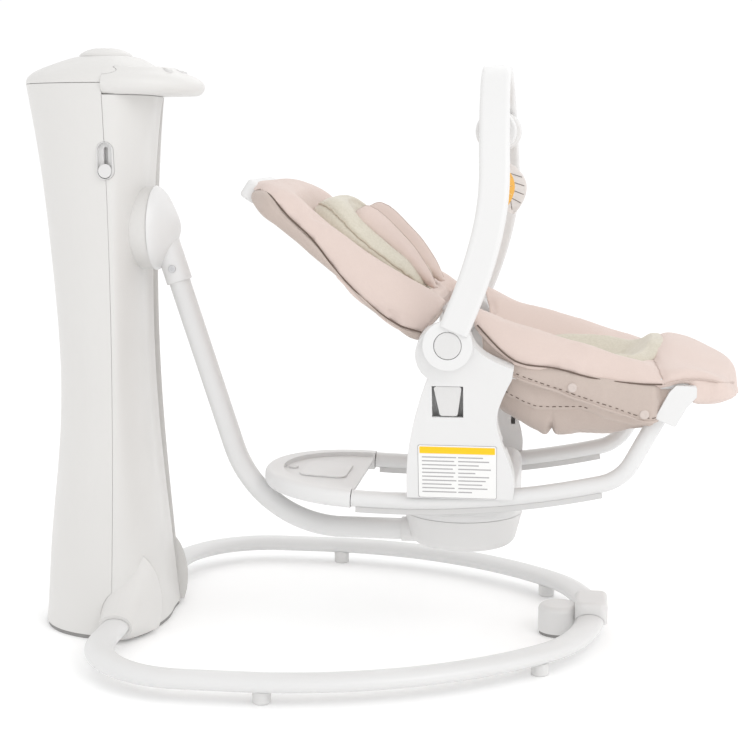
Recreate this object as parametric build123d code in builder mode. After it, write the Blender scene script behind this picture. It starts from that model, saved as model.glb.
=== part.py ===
"""Baby swing: a motor tower with a floor ring, a side-to-side swing arm and a lift-off rocker seat.

Frame: millimetres, origin on the floor under the tower, +X from the tower towards the feet,
+Z up.  The seat faces +X at rest, and the arm swings about an axis along X.
"""
import os
from math import asin, cos, degrees, radians, sin, sqrt

from build123d import *

os.makedirs("parts", exist_ok=True)

# ---------------------------------------------------------------- driving dimensions
# tower
SEAM_X = 10.0            # the plane where the front and rear shells meet
WALL = 3.0               # moulded wall
PLAN_POWER = 2.2         # squareness of the tower's oval plan
FRONT_TOP = 632.0        # top of the front shell, under the visor
REAR_TOP = 645.0         # top of the rear shell, under the lid
SHELL_FOOT = 5.0         # bottom edge of both shells
# height, rear reach, front reach, half depth
TOWER_PLANS = [
    (SHELL_FOOT, -95, 56, 100),
    (70, -90, 50, 92),
    (180, -79, 39, 80),
    (300, -71, 31, 72),
    (420, -76.5, 30.5, 70),
    (530, -86, 36, 74),
    (FRONT_TOP, -100, 49, 84),
]
REAR_RIM = (REAR_TOP, -102, 51, 85)
LID_PLANS = [
    (REAR_TOP + 0.5, -102, 56, 85),
    (653, -100, 55, 83),
    (660, -91, 52, 76),
    (667, -74, 45, 64),
    (673, -57, 36, 49),
    (677, -43, 25, 34),
]
VISOR_PLANS = [
    (FRONT_TOP + 0.5, -100, 97, 79),
    (638, -100, 105, 86),
    (646, -100, 105, 88),
    (653, -100, 97, 84),
    (659, -100, 82, 75),
    (664, -100, 60, 57),
]
KNOB_X = -9.0            # power button on the lid
KNOB_R = 31.0
SLIDER_Z = 546.0         # mode slider on the side, lowest place
SLOT_W = 19.0
SLOT_H = 43.0
INLET_Z = 40.0
BUTTON_R = 5.5           # round buttons on the visor
BUTTON_CROWN = 661.0     # top of those buttons, just proud of the visor

# swing axis and arm
PIVOT_Z = 478.0
SHAFT_R = 6.0
SHAFT_REAR = -52.0
HUB_X = 48.0             # back face of the arm hub
HUB_R = 50.0
HUB_DEPTH = 30.0
ARM_R = 12.7
ARM_WALL = 1.5
ARM_TOP = (66.0, 441.0)
ARM_CORNER = (169.0, 121.0)
ARM_BEND = 139.0
ARM_END_X = 352.0
SOCKET_R = 15.5

# dock at the arm's low end
DOCK_X = 415.0
DOCK_R = 70.0
DOCK_LOW = 108.8
DOCK_SPLIT = 147.5       # cup below, turntable above
DOCK_TOP = 158.5
PLUG_R = 34.0
PLUG_DEEP = 6.5

# floor ring
RING_Z = 23.0
RING_W = 33.0
RING_H = 19.5
RING_FRONT = 568.0
RING_WALL = 1.6
FRONT_BEND = (260.0, 22.0)     # radius, degrees of each half
CORNER_BEND = (150.0, 22.2)
SIDE_BEND = (442.7, 45.8)
REAR_BEND_R = 118.0
EAR_X = 21.0
EAR_OUT = 119.0
POST_PLACES = [(226.0, 276.0), (512.0, 151.0)]
POST_R = 10.0

# rocker
RAIL_Y = 107.0
RAIL_W = 22.0
RAIL_H = 19.0
RAIL_WALL = 1.5
ROCK_X = 350.0           # lowest place of the rocking arc
ROCK_R = 1000.0
RAIL_LOW = 180.5
RAIL_REAR = 297.0
RAIL_TURN = 575.0        # where the arc ends and the front leg turns up
LEG_BEND = 50.0
LEG_ANGLE = 62.0
LEG_RUN = 62.0
STRIP_H = 5.0
BRIDGE_REAR = 178.0      # rear end of the plastic arc
BRIDGE_LOW = 173.0
BRIDGE_HIGH = 194.0

# side panels
HUB_C = (409.0, 365.0)   # recline and toy-bar axis, X and Z
BOSS_R = 26.5
CAP_R = 14.7
FLARE = 11.0             # outward lean of the panels, degrees
PANEL_FOOT_Y = 104.0     # inner face of a panel at the rail
PANEL_FOOT_Z = 191.5
PANEL_T = 9.0            # each of a panel's two halves
BOSS_IN = 139.0          # inner face of the hub boss
BOSS_OUT = 157.2
BAR_IN = 157.6
BAR_OUT = 168.0

# seat and backrest
SEAT_HALF = 139.0
TUB_HALF = 104.0
FRAME_R = 7.0
FRAME_Y = 122.0
BACK_ANGLE = 33.0        # backrest's rise above level
BACK_HALF = 134.0

# toy bar
ARCH_RISE = 294.0
ARCH_HALF = 164.6
ARCH_T = 13.0
ARCH_W = 33.0
ARCH_LEAN = 46.0
PUCK_R = 22.5
PUCK_Z = 591.0


# ---------------------------------------------------------------- helpers
def save(part, name):
    """Label one finished piece and write its file."""
    part.label = name
    export_step(part, f"parts/{name}.step")


def both_sides(piece):
    """A piece and its mirror image on the other side, as one node."""
    twin = mirror(piece, about=Plane.XZ)
    return Compound(piece.solids() + twin.solids())


def half_plan(reach, depth, side):
    """Points of half a squared oval from -Y to +Y, bulging to side (+1 front, -1 rear)."""
    points = []
    for step in range(-4, 5):
        turn = radians(step * 22.5)
        along = abs(cos(turn)) ** (2 / PLAN_POWER) * reach if abs(step) < 4 else 0.0
        across = abs(sin(turn)) ** (2 / PLAN_POWER) * depth
        points.append((SEAM_X + side * along, across if step > 0 else -across))
    return points


def half_face(reach, depth, side):
    """Half an oval as a face, closed along the seam plane."""
    points = half_plan(reach, depth, side)
    with BuildSketch() as half:
        with BuildLine():
            Spline(points, tangents=[(side, 0), (-side, 0)])
            Line(points[-1], points[0])
        make_face()
    return half.sketch


def half_loft(plans, side, inset=0.0, drop=0.0):
    """Loft one half of the tower's or lid's stack of ovals."""
    with BuildPart() as half:
        for height, rear, front, depth in plans:
            reach = (front - SEAM_X if side > 0 else SEAM_X - rear) - inset
            with BuildSketch(Plane.XY.offset(height - drop)):
                add(half_face(reach, depth - inset, side))
        loft()
    return half.part


def back(s, n):
    """X and Z of a point s along the backrest from the recline axis and n above its mid line."""
    lean = radians(BACK_ANGLE)
    return (HUB_C[0] - s * cos(lean) + n * sin(lean), HUB_C[1] + s * sin(lean) + n * cos(lean))


def rail_z(x):
    """Height of the rocking arc's tube centre at x."""
    return RAIL_LOW + ROCK_R - sqrt(ROCK_R**2 - (x - ROCK_X) ** 2)


def ring_section(wide, high):
    """Flat-oval section of the floor ring, drawn across its front point."""
    return Ellipse(wide / 2, high / 2)


# ---------------------------------------------------------------- floor ring
def ring_path(side):
    """Half of the floor ring from the front point round to its ear on the tower."""
    with BuildLine() as path:
        first = JernArc((RING_FRONT, 0), (0, side), FRONT_BEND[0], side * FRONT_BEND[1])
        second = JernArc(first @ 1, first % 1, CORNER_BEND[0], side * CORNER_BEND[1])
        third = JernArc(second @ 1, second % 1, SIDE_BEND[0], side * SIDE_BEND[1])
        turn_x = EAR_X + REAR_BEND_R
        fourth = Line(third @ 1, (turn_x, (third @ 1).Y))
        fifth = JernArc(fourth @ 1, (-1, 0), REAR_BEND_R, side * 90)
        Line(fifth @ 1, (EAR_X, side * 92.0))
    return path.line.moved(Location((0, 0, RING_Z)))


def ring_half(side, grow=0.0, hollow=True):
    """One bent tube of the floor ring."""
    route = ring_path(side)
    with BuildPart() as tube:
        with BuildSketch(Plane(route @ 0, x_dir=(1, 0, 0), z_dir=(0, side, 0))):
            ring_section(RING_W + 2 * grow, RING_H + 2 * grow)
            if hollow:
                Ellipse(RING_W / 2 - RING_WALL, RING_H / 2 - RING_WALL, mode=Mode.SUBTRACT)
        sweep(path=route)
    return tube.part


ring_left = ring_half(-1)
ring_right = ring_half(1)
save(ring_left, "floor_tube_left")
save(ring_right, "floor_tube_right")
ring_solid = ring_half(-1, 0.25, False) + ring_half(1, 0.25, False)

with BuildPart() as floor_posts:
    with BuildSketch():
        for x, y in POST_PLACES:
            with Locations((x, y), (x, -y)):
                Circle(POST_R)
    extrude(amount=RING_Z - 4)
    chamfer(floor_posts.edges().group_by(Axis.Z)[0], 1.2)
    add(ring_solid, mode=Mode.SUBTRACT)
    split(bisect_by=Plane.XY.offset(RING_Z - 6), keep=Keep.BOTTOM)
save(floor_posts.part, "floor_posts")

PAD_X, PAD_R, PAD_LOW, PAD_TOP = 530.0, 24.5, 4.0, 36.0
SADDLE = (38.0, 60.0, 26.0)
with BuildPart() as front_clip:
    with BuildSketch(Plane.XY.offset(PAD_LOW)):
        with Locations((PAD_X, 0)):
            Circle(PAD_R)
    extrude(amount=PAD_TOP - PAD_LOW)
    fillet(front_clip.edges().group_by(Axis.Z)[-1], 7)
    with BuildSketch(Plane.XY.offset(20)):
        with Locations((RING_FRONT, 0)):
            RectangleRounded(SADDLE[0], SADDLE[1], 9)
    extrude(amount=SADDLE[2])
    fillet(front_clip.faces().sort_by(Axis.Z)[-1].edges(), 6)
    add(ring_solid, mode=Mode.SUBTRACT)
save(front_clip.part, "front_foot_clip")


# ---------------------------------------------------------------- tower
def ear(side, grow=0.0):
    """Boss on the front shell that holds one end of the floor ring."""
    with BuildPart() as boss:
        with BuildSketch(Plane.XZ.offset(-side * (EAR_OUT - 58))):
            with Locations((EAR_X + 5, RING_Z + 14)):
                Ellipse(36 + grow, 60 + grow)
        with BuildSketch(Plane.XZ.offset(-side * (EAR_OUT - 28))):
            with Locations((EAR_X + 2, RING_Z + 5)):
                Ellipse(27 + grow, 34 + grow)
        with BuildSketch(Plane.XZ.offset(-side * (EAR_OUT + grow))):
            with Locations((EAR_X, RING_Z)):
                Ellipse(20.0 + grow, 14.0 + grow)
        loft()
    return boss.part


slot_low = SLIDER_Z - SLOT_W / 2
slot_mid = slot_low + SLOT_H / 2


def slot_cut(width, height, near, far):
    """Upright rounded slot through the tower's near side, from y = -near to y = -far."""
    with BuildPart() as cut:
        with BuildSketch(Plane.XZ.offset(near)):
            with Locations((SEAM_X, slot_mid)):
                SlotOverall(height, width, rotation=90)
        extrude(amount=far - near)
    return cut.part


BOSS_X = HUB_X - 0.6      # front face of the round boss behind the arm hub
with BuildPart() as front_shell:
    add(half_loft(TOWER_PLANS, 1))
    with BuildSketch(Plane.YZ.offset(SEAM_X + 1)):
        with Locations((0, PIVOT_Z)):
            Circle(HUB_R - 1.5)
    extrude(amount=BOSS_X - SEAM_X - 1)
    split(bisect_by=Plane.YZ.offset(SEAM_X + 0.15), keep=Keep.TOP)
    for side in (-1, 1):
        add(ear(side))
    for half in (-1, 1):
        add(half_loft(TOWER_PLANS, half, inset=WALL), mode=Mode.SUBTRACT)
    with BuildSketch(Plane.YZ.offset(SEAM_X)):
        with Locations((0, PIVOT_Z)):
            Circle(HUB_R - 1.5 - WALL)
    extrude(amount=BOSS_X - SEAM_X - WALL, mode=Mode.SUBTRACT)
    with BuildSketch(Plane.XY.offset(SHELL_FOOT)):
        with Locations((EAR_X, 0)):
            Rectangle(120, 300)
    extrude(amount=-40, mode=Mode.SUBTRACT)
    add(ring_solid, mode=Mode.SUBTRACT)
    with BuildSketch(Plane.YZ):
        with Locations((0, PIVOT_Z)):
            Circle(16)
    extrude(amount=80, mode=Mode.SUBTRACT)
    add(slot_cut(SLOT_W, SLOT_H, 60, 90), mode=Mode.SUBTRACT)
front_main = front_shell.part.solids().sort_by(SortBy.VOLUME)[-1]
save(Part(front_main.wrapped), "tower_front_shell")

with BuildPart() as rear_shell:
    add(half_loft(TOWER_PLANS + [REAR_RIM], -1))
    add(half_loft(TOWER_PLANS + [REAR_RIM], -1, inset=WALL), mode=Mode.SUBTRACT)
    with BuildSketch(Plane.YZ.offset(-80)):
        with Locations((0, INLET_Z)):
            Circle(7.2)
    extrude(amount=-40, mode=Mode.SUBTRACT)
    add(slot_cut(SLOT_W, SLOT_H, 60, 90), mode=Mode.SUBTRACT)
    for side in (-1, 1):
        add(ear(side, 0.2), mode=Mode.SUBTRACT)
    split(bisect_by=Plane.YZ.offset(SEAM_X - 0.15), keep=Keep.BOTTOM)
rear_main = rear_shell.part.solids().sort_by(SortBy.VOLUME)[-1]
save(Part(rear_main.wrapped), "tower_rear_shell")

lid_solid = half_loft(LID_PLANS, 1) + half_loft(LID_PLANS, -1)
with BuildPart() as lid:
    add(lid_solid)
    add(half_loft(LID_PLANS, 1, inset=WALL, drop=WALL), mode=Mode.SUBTRACT)
    add(half_loft(LID_PLANS, -1, inset=WALL, drop=WALL), mode=Mode.SUBTRACT)
    with BuildSketch(Plane.XY.offset(690)):
        with Locations((KNOB_X, 0)):
            Circle(7)
    extrude(amount=-40, mode=Mode.SUBTRACT)
    with BuildSketch(Plane.XY.offset(690)):
        with Locations((KNOB_X, 0)):
            Circle(KNOB_R + 0.6)
            Circle(KNOB_R - 3.5, mode=Mode.SUBTRACT)
    extrude(amount=-15.2, mode=Mode.SUBTRACT)
save(lid.part, "tower_lid")

BUTTON_PLACES = [(74, -34), (79, 0), (74, 34)]
with BuildPart() as visor:
    add(half_loft(VISOR_PLANS, 1))
    add(half_loft(VISOR_PLANS[1:], 1, inset=WALL, drop=2.5), mode=Mode.SUBTRACT)
    with BuildSketch(Plane.XY.offset(FRONT_TOP - 1)):
        add(half_face(34, 80, 1))
    extrude(amount=14, mode=Mode.SUBTRACT)
    add(lid_solid, mode=Mode.SUBTRACT)
    with BuildSketch(Plane.XY.offset(645)):
        with Locations(*BUTTON_PLACES):
            Circle(BUTTON_R + 0.25)
    extrude(amount=40, mode=Mode.SUBTRACT)
    split(bisect_by=Plane.YZ.offset(SEAM_X + 0.15), keep=Keep.TOP)
visor_main = visor.part.solids().sort_by(SortBy.VOLUME)[-1]
save(Part(visor_main.wrapped), "control_visor")

for index, (x, y) in enumerate(BUTTON_PLACES):
    with BuildPart() as button:
        with BuildSketch(Plane.XY.offset(BUTTON_CROWN - 9)):
            with Locations((x, y)):
                Circle(BUTTON_R)
        extrude(amount=9)
        fillet(button.edges().group_by(Axis.Z)[-1], 1.2)
    save(button.part, f"visor_button_{index + 1}")

with BuildPart() as knob:
    with BuildSketch(Plane.XZ):
        with BuildLine():
            dome = Spline((KNOB_X, 687.3), (KNOB_X + 17, 686), (KNOB_X + 27, 682), (KNOB_X + KNOB_R, 677.5),
                          tangents=[(1, 0), (0.2, -1)])
            Polyline(dome @ 1, (KNOB_X + KNOB_R, 676.2), (KNOB_X + KNOB_R - 2.8, 676.2),
                     (KNOB_X + KNOB_R - 2.8, 679.2), (KNOB_X, 679.2), dome @ 0)
        make_face()
    revolve(axis=Axis((KNOB_X, 0, 0), (0, 0, 1)))
    with BuildSketch(Plane.XY.offset(664)):
        with Locations((KNOB_X, 0)):
            Circle(6)
    extrude(amount=16)
save(knob.part, "power_button")

with BuildPart() as escutcheon:
    add(slot_cut(SLOT_W - 0.4, SLOT_H - 0.4, 66, 78.5))
    add(slot_cut(SLOT_W - 2.2, SLOT_H - 2.2, 72, 80), mode=Mode.SUBTRACT)
    add(slot_cut(5.0, SLOT_H - 12, 60, 80), mode=Mode.SUBTRACT)
save(escutcheon.part, "slider_escutcheon")

with BuildPart() as slider:
    with BuildSketch(Plane.XZ.offset(72.4)):
        with Locations((SEAM_X, SLIDER_Z + 0.4)):
            Circle(8.0)
    extrude(amount=6.4)
    fillet(slider.faces().sort_by(Axis.Y)[0].edges(), 1.2)
    with BuildSketch(Plane.XZ.offset(62)):
        with Locations((SEAM_X, SLIDER_Z + 0.4)):
            Circle(2.2)
    extrude(amount=11)
    with BuildSketch(Plane.XZ.offset(63)):
        with Locations((SEAM_X, SLIDER_Z + 1)):
            Rectangle(12, 56)
    extrude(amount=2.5)
save(slider.part, "mode_slider")


def tower_plate(inset, low, high):
    """Flat plate of the tower's foot plan."""
    _, rear, front, depth = TOWER_PLANS[0]
    with BuildPart() as plate:
        with BuildSketch(Plane.XY.offset(low)):
            add(half_face(front - SEAM_X - inset, depth - inset, 1))
            add(half_face(SEAM_X - rear - inset, depth - inset, -1))
        extrude(amount=high - low)
    return plate


with BuildPart() as rubber_feet:
    add(tower_plate(1.5, 0, SHELL_FOOT).part)
    with BuildSketch():
        with Locations((PAD_X, 0)):
            Circle(PAD_R - 1.5)
    extrude(amount=PAD_LOW)
save(rubber_feet.part, "rubber_feet")

with BuildPart() as base_plate:
    add(tower_plate(WALL + 1.2, SHELL_FOOT, SHELL_FOOT + 3).part)
    for side in (-1, 1):
        add(ear(side), mode=Mode.SUBTRACT)
    add(ring_solid, mode=Mode.SUBTRACT)
save(base_plate.part, "tower_base_plate")

inlet_face = -94.0
with BuildPart() as inlet:
    with BuildSketch(Plane.YZ.offset(inlet_face)):
        with Locations((0, INLET_Z)):
            Circle(6.8)
    extrude(amount=22)
    with BuildSketch(Plane.YZ.offset(inlet_face)):
        with Locations((0, INLET_Z)):
            Circle(2.75)
            Circle(1.0, mode=Mode.SUBTRACT)
    extrude(amount=10, mode=Mode.SUBTRACT)
save(inlet.part, "power_inlet")

# drive and electronics inside the tower
BRACKET = (54.0, 100.0, 90.0)
BRACKET_X = -8.0
BEARING_R = 13.0
BEARING_W = 9.0
LEVER_DROP = 84.0
COIL_TOP = PIVOT_Z - LEVER_DROP - 16
COIL_H = 26.0
with BuildPart() as bracket:
    with BuildSketch(Plane.XY.offset(PIVOT_Z - BRACKET[2] / 2)):
        with Locations((BRACKET_X, 0)):
            RectangleRounded(BRACKET[0], BRACKET[1], 8)
            RectangleRounded(BRACKET[0] - 20, BRACKET[1] - 8, 4, mode=Mode.SUBTRACT)
    extrude(amount=BRACKET[2])
    with BuildSketch(Plane.XY.offset(COIL_TOP - COIL_H - 4)):
        with Locations((BRACKET_X, 0)):
            Rectangle(44, BRACKET[1])
    extrude(amount=4)
    with BuildSketch(Plane.XY.offset(COIL_TOP - COIL_H - 4)):
        with Locations((BRACKET_X, -BRACKET[1] / 2 + 2), (BRACKET_X, BRACKET[1] / 2 - 2)):
            Rectangle(30, 4)
    extrude(amount=PIVOT_Z - COIL_TOP + COIL_H - BRACKET[2] / 2 + 6)
    with BuildSketch(Plane.YZ.offset(-60)):
        with Locations((0, PIVOT_Z)):
            Circle(BEARING_R)
    extrude(amount=120, mode=Mode.SUBTRACT)
save(bracket.part, "drive_bracket")

with BuildPart() as bearings:
    for middle in (BRACKET_X - BRACKET[0] / 2 + 5, BRACKET_X + BRACKET[0] / 2 - 5):
        with BuildSketch(Plane.YZ.offset(middle - BEARING_W / 2)):
            with Locations((0, PIVOT_Z)):
                Circle(BEARING_R)
                Circle(SHAFT_R + 0.05, mode=Mode.SUBTRACT)
        extrude(amount=BEARING_W)
save(bearings.part, "shaft_bearings")

with BuildPart() as shaft:
    with BuildSketch(Plane.YZ.offset(SHAFT_REAR)):
        with Locations((0, PIVOT_Z)):
            Circle(SHAFT_R)
    extrude(amount=HUB_X + 16 - SHAFT_REAR)
save(shaft.part, "pivot_shaft")

with BuildPart() as lever:
    with BuildSketch(Plane.YZ.offset(BRACKET_X - 5)):
        with Locations((0, PIVOT_Z)):
            Circle(13)
        with Locations((0, PIVOT_Z - LEVER_DROP / 2)):
            Rectangle(12, LEVER_DROP)
        with Locations((0, PIVOT_Z)):
            Circle(SHAFT_R, mode=Mode.SUBTRACT)
    extrude(amount=10)
    with BuildSketch(Plane.XY.offset(PIVOT_Z - LEVER_DROP - 12)):
        with Locations((BRACKET_X, 0)):
            RectangleRounded(24, 24, 2)
    extrude(amount=12)
save(lever.part, "drive_lever_and_magnet")

with BuildPart() as coil:
    with BuildSketch(Plane.XY.offset(COIL_TOP - COIL_H)):
        with Locations((BRACKET_X, 0)):
            Circle(22)
            Circle(8, mode=Mode.SUBTRACT)
    extrude(amount=COIL_H)
save(coil.part, "drive_coil")

with BuildPart() as board:
    with BuildSketch(Plane.XY.offset(616)):
        with Locations((-20, 0)):
            RectangleRounded(100, 110, 4)
    extrude(amount=1.6)
    with BuildSketch(Plane.XY.offset(617.6)):
        with Locations((-45, -25), (-45, 25), (-5, -30)):
            Rectangle(22, 16)
    extrude(amount=6)
save(board.part, "control_board")

with BuildPart() as speaker:
    with BuildSketch(Plane.XY.offset(588)):
        with Locations((-25, 0)):
            Circle(26)
    extrude(amount=10)
    with BuildSketch(Plane.XY.offset(574)):
        with Locations((-25, 0)):
            Circle(14)
    extrude(amount=14)
save(speaker.part, "speaker")

# ---------------------------------------------------------------- swing arm
ARM_DIR = Vector(ARM_CORNER[0] - ARM_TOP[0], 0, ARM_CORNER[1] - ARM_TOP[1]).normalized()


def arm_solid(radius, bore=0.0):
    """The bent arm tube; it can be drawn fatter, or solid, to cut its neighbours."""
    with BuildPart() as tube:
        with BuildLine(Plane.XZ) as path:
            FilletPolyline(ARM_TOP, ARM_CORNER, (ARM_END_X, ARM_CORNER[1]), radius=ARM_BEND)
        with BuildSketch(Plane(path.line @ 0, x_dir=(0, 1, 0), z_dir=ARM_DIR)):
            Circle(radius)
            if bore:
                Circle(bore, mode=Mode.SUBTRACT)
        sweep(path=path.line)
    return tube.part


arm_tube = arm_solid(ARM_R, ARM_R - ARM_WALL)
save(arm_tube, "arm_tube")
arm_cutter = arm_solid(ARM_R + 0.05)

with BuildPart() as arm_hub:
    with BuildSketch(Plane.XZ):
        with BuildLine():
            flank = Spline((HUB_X, PIVOT_Z + HUB_R), (HUB_X + 17, PIVOT_Z + 30),
                           (HUB_X + 26, PIVOT_Z + 12), (HUB_X + HUB_DEPTH - 2, PIVOT_Z),
                           tangents=[(0.7, -0.3), (0, -1)])
            Line(flank @ 1, (HUB_X, PIVOT_Z))
            Line((HUB_X, PIVOT_Z), flank @ 0)
        make_face()
    revolve(axis=Axis((0, 0, PIVOT_Z), (1, 0, 0)))
    socket_top = Vector(ARM_TOP[0], 0, ARM_TOP[1]) - ARM_DIR * 26
    with BuildSketch(Plane(socket_top, x_dir=(0, 1, 0), z_dir=ARM_DIR)):
        Circle(SOCKET_R)
    extrude(amount=54)
    fillet(arm_hub.edges().sort_by(Axis.Z)[0], 1.5)
    split(bisect_by=Plane.YZ.offset(HUB_X), keep=Keep.TOP)
    add(arm_cutter, mode=Mode.SUBTRACT)
    with BuildSketch(Plane.YZ.offset(HUB_X - 5)):
        with Locations((0, PIVOT_Z)):
            Circle(SHAFT_R + 0.05)
    extrude(amount=21.2, mode=Mode.SUBTRACT)
save(arm_hub.part, "arm_hub")

screw_at = Vector(ARM_TOP[0], 0, ARM_TOP[1]) + ARM_DIR * 11
with BuildPart() as arm_screw:
    with BuildSketch(Plane.XZ.offset(SOCKET_R - 0.6)):
        with Locations((screw_at.X, screw_at.Z)):
            Circle(4.6)
    extrude(amount=2.2)
    fillet(arm_screw.faces().sort_by(Axis.Y)[0].edges(), 0.8)
    with BuildSketch(Plane.XZ.offset(SOCKET_R + 2)):
        with Locations((screw_at.X, screw_at.Z)):
            Rectangle(4.4, 1.1, rotation=20)
            Rectangle(1.1, 4.4, rotation=20)
    extrude(amount=-1.2, mode=Mode.SUBTRACT)
    with BuildSketch(Plane.XZ.offset(ARM_R - 3)):
        with Locations((screw_at.X, screw_at.Z)):
            Circle(2.0)
    extrude(amount=6.0)
save(arm_screw.part, "arm_screw")

DOCK_FLOOR_R = 60.0
with BuildPart() as dock_cup:
    with BuildSketch(Plane.XZ):
        with BuildLine():
            FilletPolyline((DOCK_X, DOCK_LOW), (DOCK_X + DOCK_FLOOR_R, DOCK_LOW),
                           (DOCK_X + DOCK_R, DOCK_SPLIT), radius=13)
            Line((DOCK_X + DOCK_R, DOCK_SPLIT), (DOCK_X + DOCK_R - WALL, DOCK_SPLIT))
            FilletPolyline((DOCK_X + DOCK_R - WALL, DOCK_SPLIT),
                           (DOCK_X + DOCK_FLOOR_R - 2.5, DOCK_LOW + WALL),
                           (DOCK_X, DOCK_LOW + WALL), radius=10.5)
            Line((DOCK_X, DOCK_LOW + WALL), (DOCK_X, DOCK_LOW))
        make_face()
    revolve(axis=Axis((DOCK_X, 0, 0), (0, 0, 1)))
    with BuildSketch(Plane.YZ.offset(DOCK_X - DOCK_R - 3)):
        with Locations((0, ARM_CORNER[1])):
            Circle(14.7)
    extrude(amount=22)
    with BuildSketch(Plane.XY.offset(DOCK_LOW + WALL)):
        with Locations((DOCK_X, 0)):
            Circle(28)
            Circle(22.2, mode=Mode.SUBTRACT)
    extrude(amount=20)
    with BuildSketch(Plane.XY.offset(DOCK_SPLIT)):
        with Locations((DOCK_X, 0)):
            Circle(90)
    extrude(amount=10, mode=Mode.SUBTRACT)
    add(arm_cutter, mode=Mode.SUBTRACT)
save(dock_cup.part, "dock_cup")

# ---------------------------------------------------------------- swivel table on the dock
RELEASE = (10.0, 26.0, 4.5)
release_x = DOCK_X + DOCK_R - RELEASE[0] / 2
with BuildPart() as swivel_table:
    with BuildSketch(Plane.XY.offset(DOCK_SPLIT + 0.4)):
        with Locations((DOCK_X, 0)):
            Circle(DOCK_R)
    extrude(amount=DOCK_TOP - DOCK_SPLIT - 0.4)
    fillet(swivel_table.edges().group_by(Axis.Z)[-1], 2)
    with BuildSketch(Plane.XY.offset(DOCK_SPLIT - 32)):
        with Locations((DOCK_X, 0)):
            Circle(22)
    extrude(amount=34)
    with BuildSketch(Plane.XY.offset(DOCK_TOP)):
        with Locations((DOCK_X, 0)):
            Circle(PLUG_R + 0.4)
    extrude(amount=-PLUG_DEEP - 0.5, mode=Mode.SUBTRACT)
    with BuildSketch(Plane.XY.offset(DOCK_SPLIT + 3)):
        with Locations((release_x, 0)):
            Rectangle(RELEASE[0] + 8, RELEASE[1] + 0.8)
    extrude(amount=RELEASE[2] + 0.8, mode=Mode.SUBTRACT)
save(swivel_table.part, "swivel_table")

with BuildPart() as dock_release:
    with BuildSketch(Plane.XY.offset(DOCK_SPLIT + 3.4)):
        with Locations((release_x, 0)):
            RectangleRounded(RELEASE[0], RELEASE[1], 2)
    extrude(amount=RELEASE[2])
save(dock_release.part, "dock_release_button")

# ---------------------------------------------------------------- rocker base
REAR_SLOPE = degrees(asin((RAIL_REAR - ROCK_X) / ROCK_R))
FRONT_SLOPE = degrees(asin((RAIL_TURN - ROCK_X) / ROCK_R))


def rail_route(side):
    """Rocking arc, then the bend and the straight front leg, on one side of the seat."""
    with BuildLine() as path:
        start = (RAIL_REAR, rail_z(RAIL_REAR))
        heading = (cos(radians(REAR_SLOPE)), sin(radians(REAR_SLOPE)))
        low = JernArc(start, heading, ROCK_R, FRONT_SLOPE - REAR_SLOPE)
        bend = JernArc(low @ 1, low % 1, LEG_BEND, LEG_ANGLE - FRONT_SLOPE)
        Line(bend @ 1, (bend @ 1) + (bend % 1) * LEG_RUN)
    return path.line.moved(Plane.XZ.offset(-side * RAIL_Y).location)


def rail(side, grow=0.0, hollow=True):
    """One side rail and front leg."""
    route = rail_route(side)
    with BuildPart() as tube:
        with BuildSketch(Plane(route @ 0, x_dir=(0, 1, 0), z_dir=route % 0)):
            Ellipse(RAIL_W / 2 + grow, RAIL_H / 2 + grow)
            if hollow:
                Ellipse(RAIL_W / 2 - RAIL_WALL, RAIL_H / 2 - RAIL_WALL, mode=Mode.SUBTRACT)
        sweep(path=route)
    return tube.part


def strip(side, cutter):
    """Grip strip glued along the underside of one rail."""
    inner, outer = ROCK_R + RAIL_H / 2 - 1.5, ROCK_R + RAIL_H / 2 + STRIP_H
    centre = (ROCK_X, RAIL_LOW + ROCK_R)
    with BuildPart() as band:
        with BuildSketch(Plane.XZ.offset(-side * RAIL_Y + 6)):
            with BuildLine():
                top = CenterArc(centre, inner, 270 + REAR_SLOPE + 0.3, FRONT_SLOPE - REAR_SLOPE - 0.4)
                low = CenterArc(centre, outer, 270 + REAR_SLOPE + 0.3, FRONT_SLOPE - REAR_SLOPE - 0.4)
                Line(top @ 0, low @ 0)
                Line(top @ 1, low @ 1)
            make_face()
        extrude(amount=-12)
        add(cutter, mode=Mode.SUBTRACT)
    return band.part


rail_cutter = rail(-1, 0.02, False)
save(both_sides(rail(-1)), "rocker_rails")
save(both_sides(strip(-1, rail_cutter)), "rocker_strips")

ARC_END = RAIL_REAR - 0.8
ARC_TILT = Plane((ARC_END, 0, rail_z(ARC_END)),
                 x_dir=(cos(radians(REAR_SLOPE)), 0, sin(radians(REAR_SLOPE))),
                 z_dir=(-sin(radians(REAR_SLOPE)), 0, cos(radians(REAR_SLOPE))))
ARC_REACH = ARC_END - BRIDGE_REAR
ARC_HALF = RAIL_Y + RAIL_W / 2
RIM = 22.0
DECK_DROP = 5.0
VIBRATE_X = -86.0
with BuildPart() as rear_arc:
    with BuildSketch(ARC_TILT.offset(-10.5)):
        Ellipse(ARC_REACH, ARC_HALF)
    extrude(amount=21)
    fillet(rear_arc.edges(), 8)
    with BuildSketch(ARC_TILT.offset(10.5)):
        Ellipse(ARC_REACH - RIM, ARC_HALF - RIM)
    extrude(amount=-DECK_DROP, mode=Mode.SUBTRACT)
    with BuildSketch(ARC_TILT.offset(-10.5)):
        Ellipse(ARC_REACH - RIM, ARC_HALF - RIM)
    extrude(amount=21 - DECK_DROP - WALL, mode=Mode.SUBTRACT)
    with BuildSketch(ARC_TILT):
        with Locations((VIBRATE_X, 0)):
            Circle(BUTTON_R + 0.5)
    extrude(amount=20, mode=Mode.SUBTRACT)
    split(bisect_by=Plane(ARC_TILT.origin, z_dir=ARC_TILT.x_dir), keep=Keep.BOTTOM)
save(rear_arc.part, "rocker_rear_arc")

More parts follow.
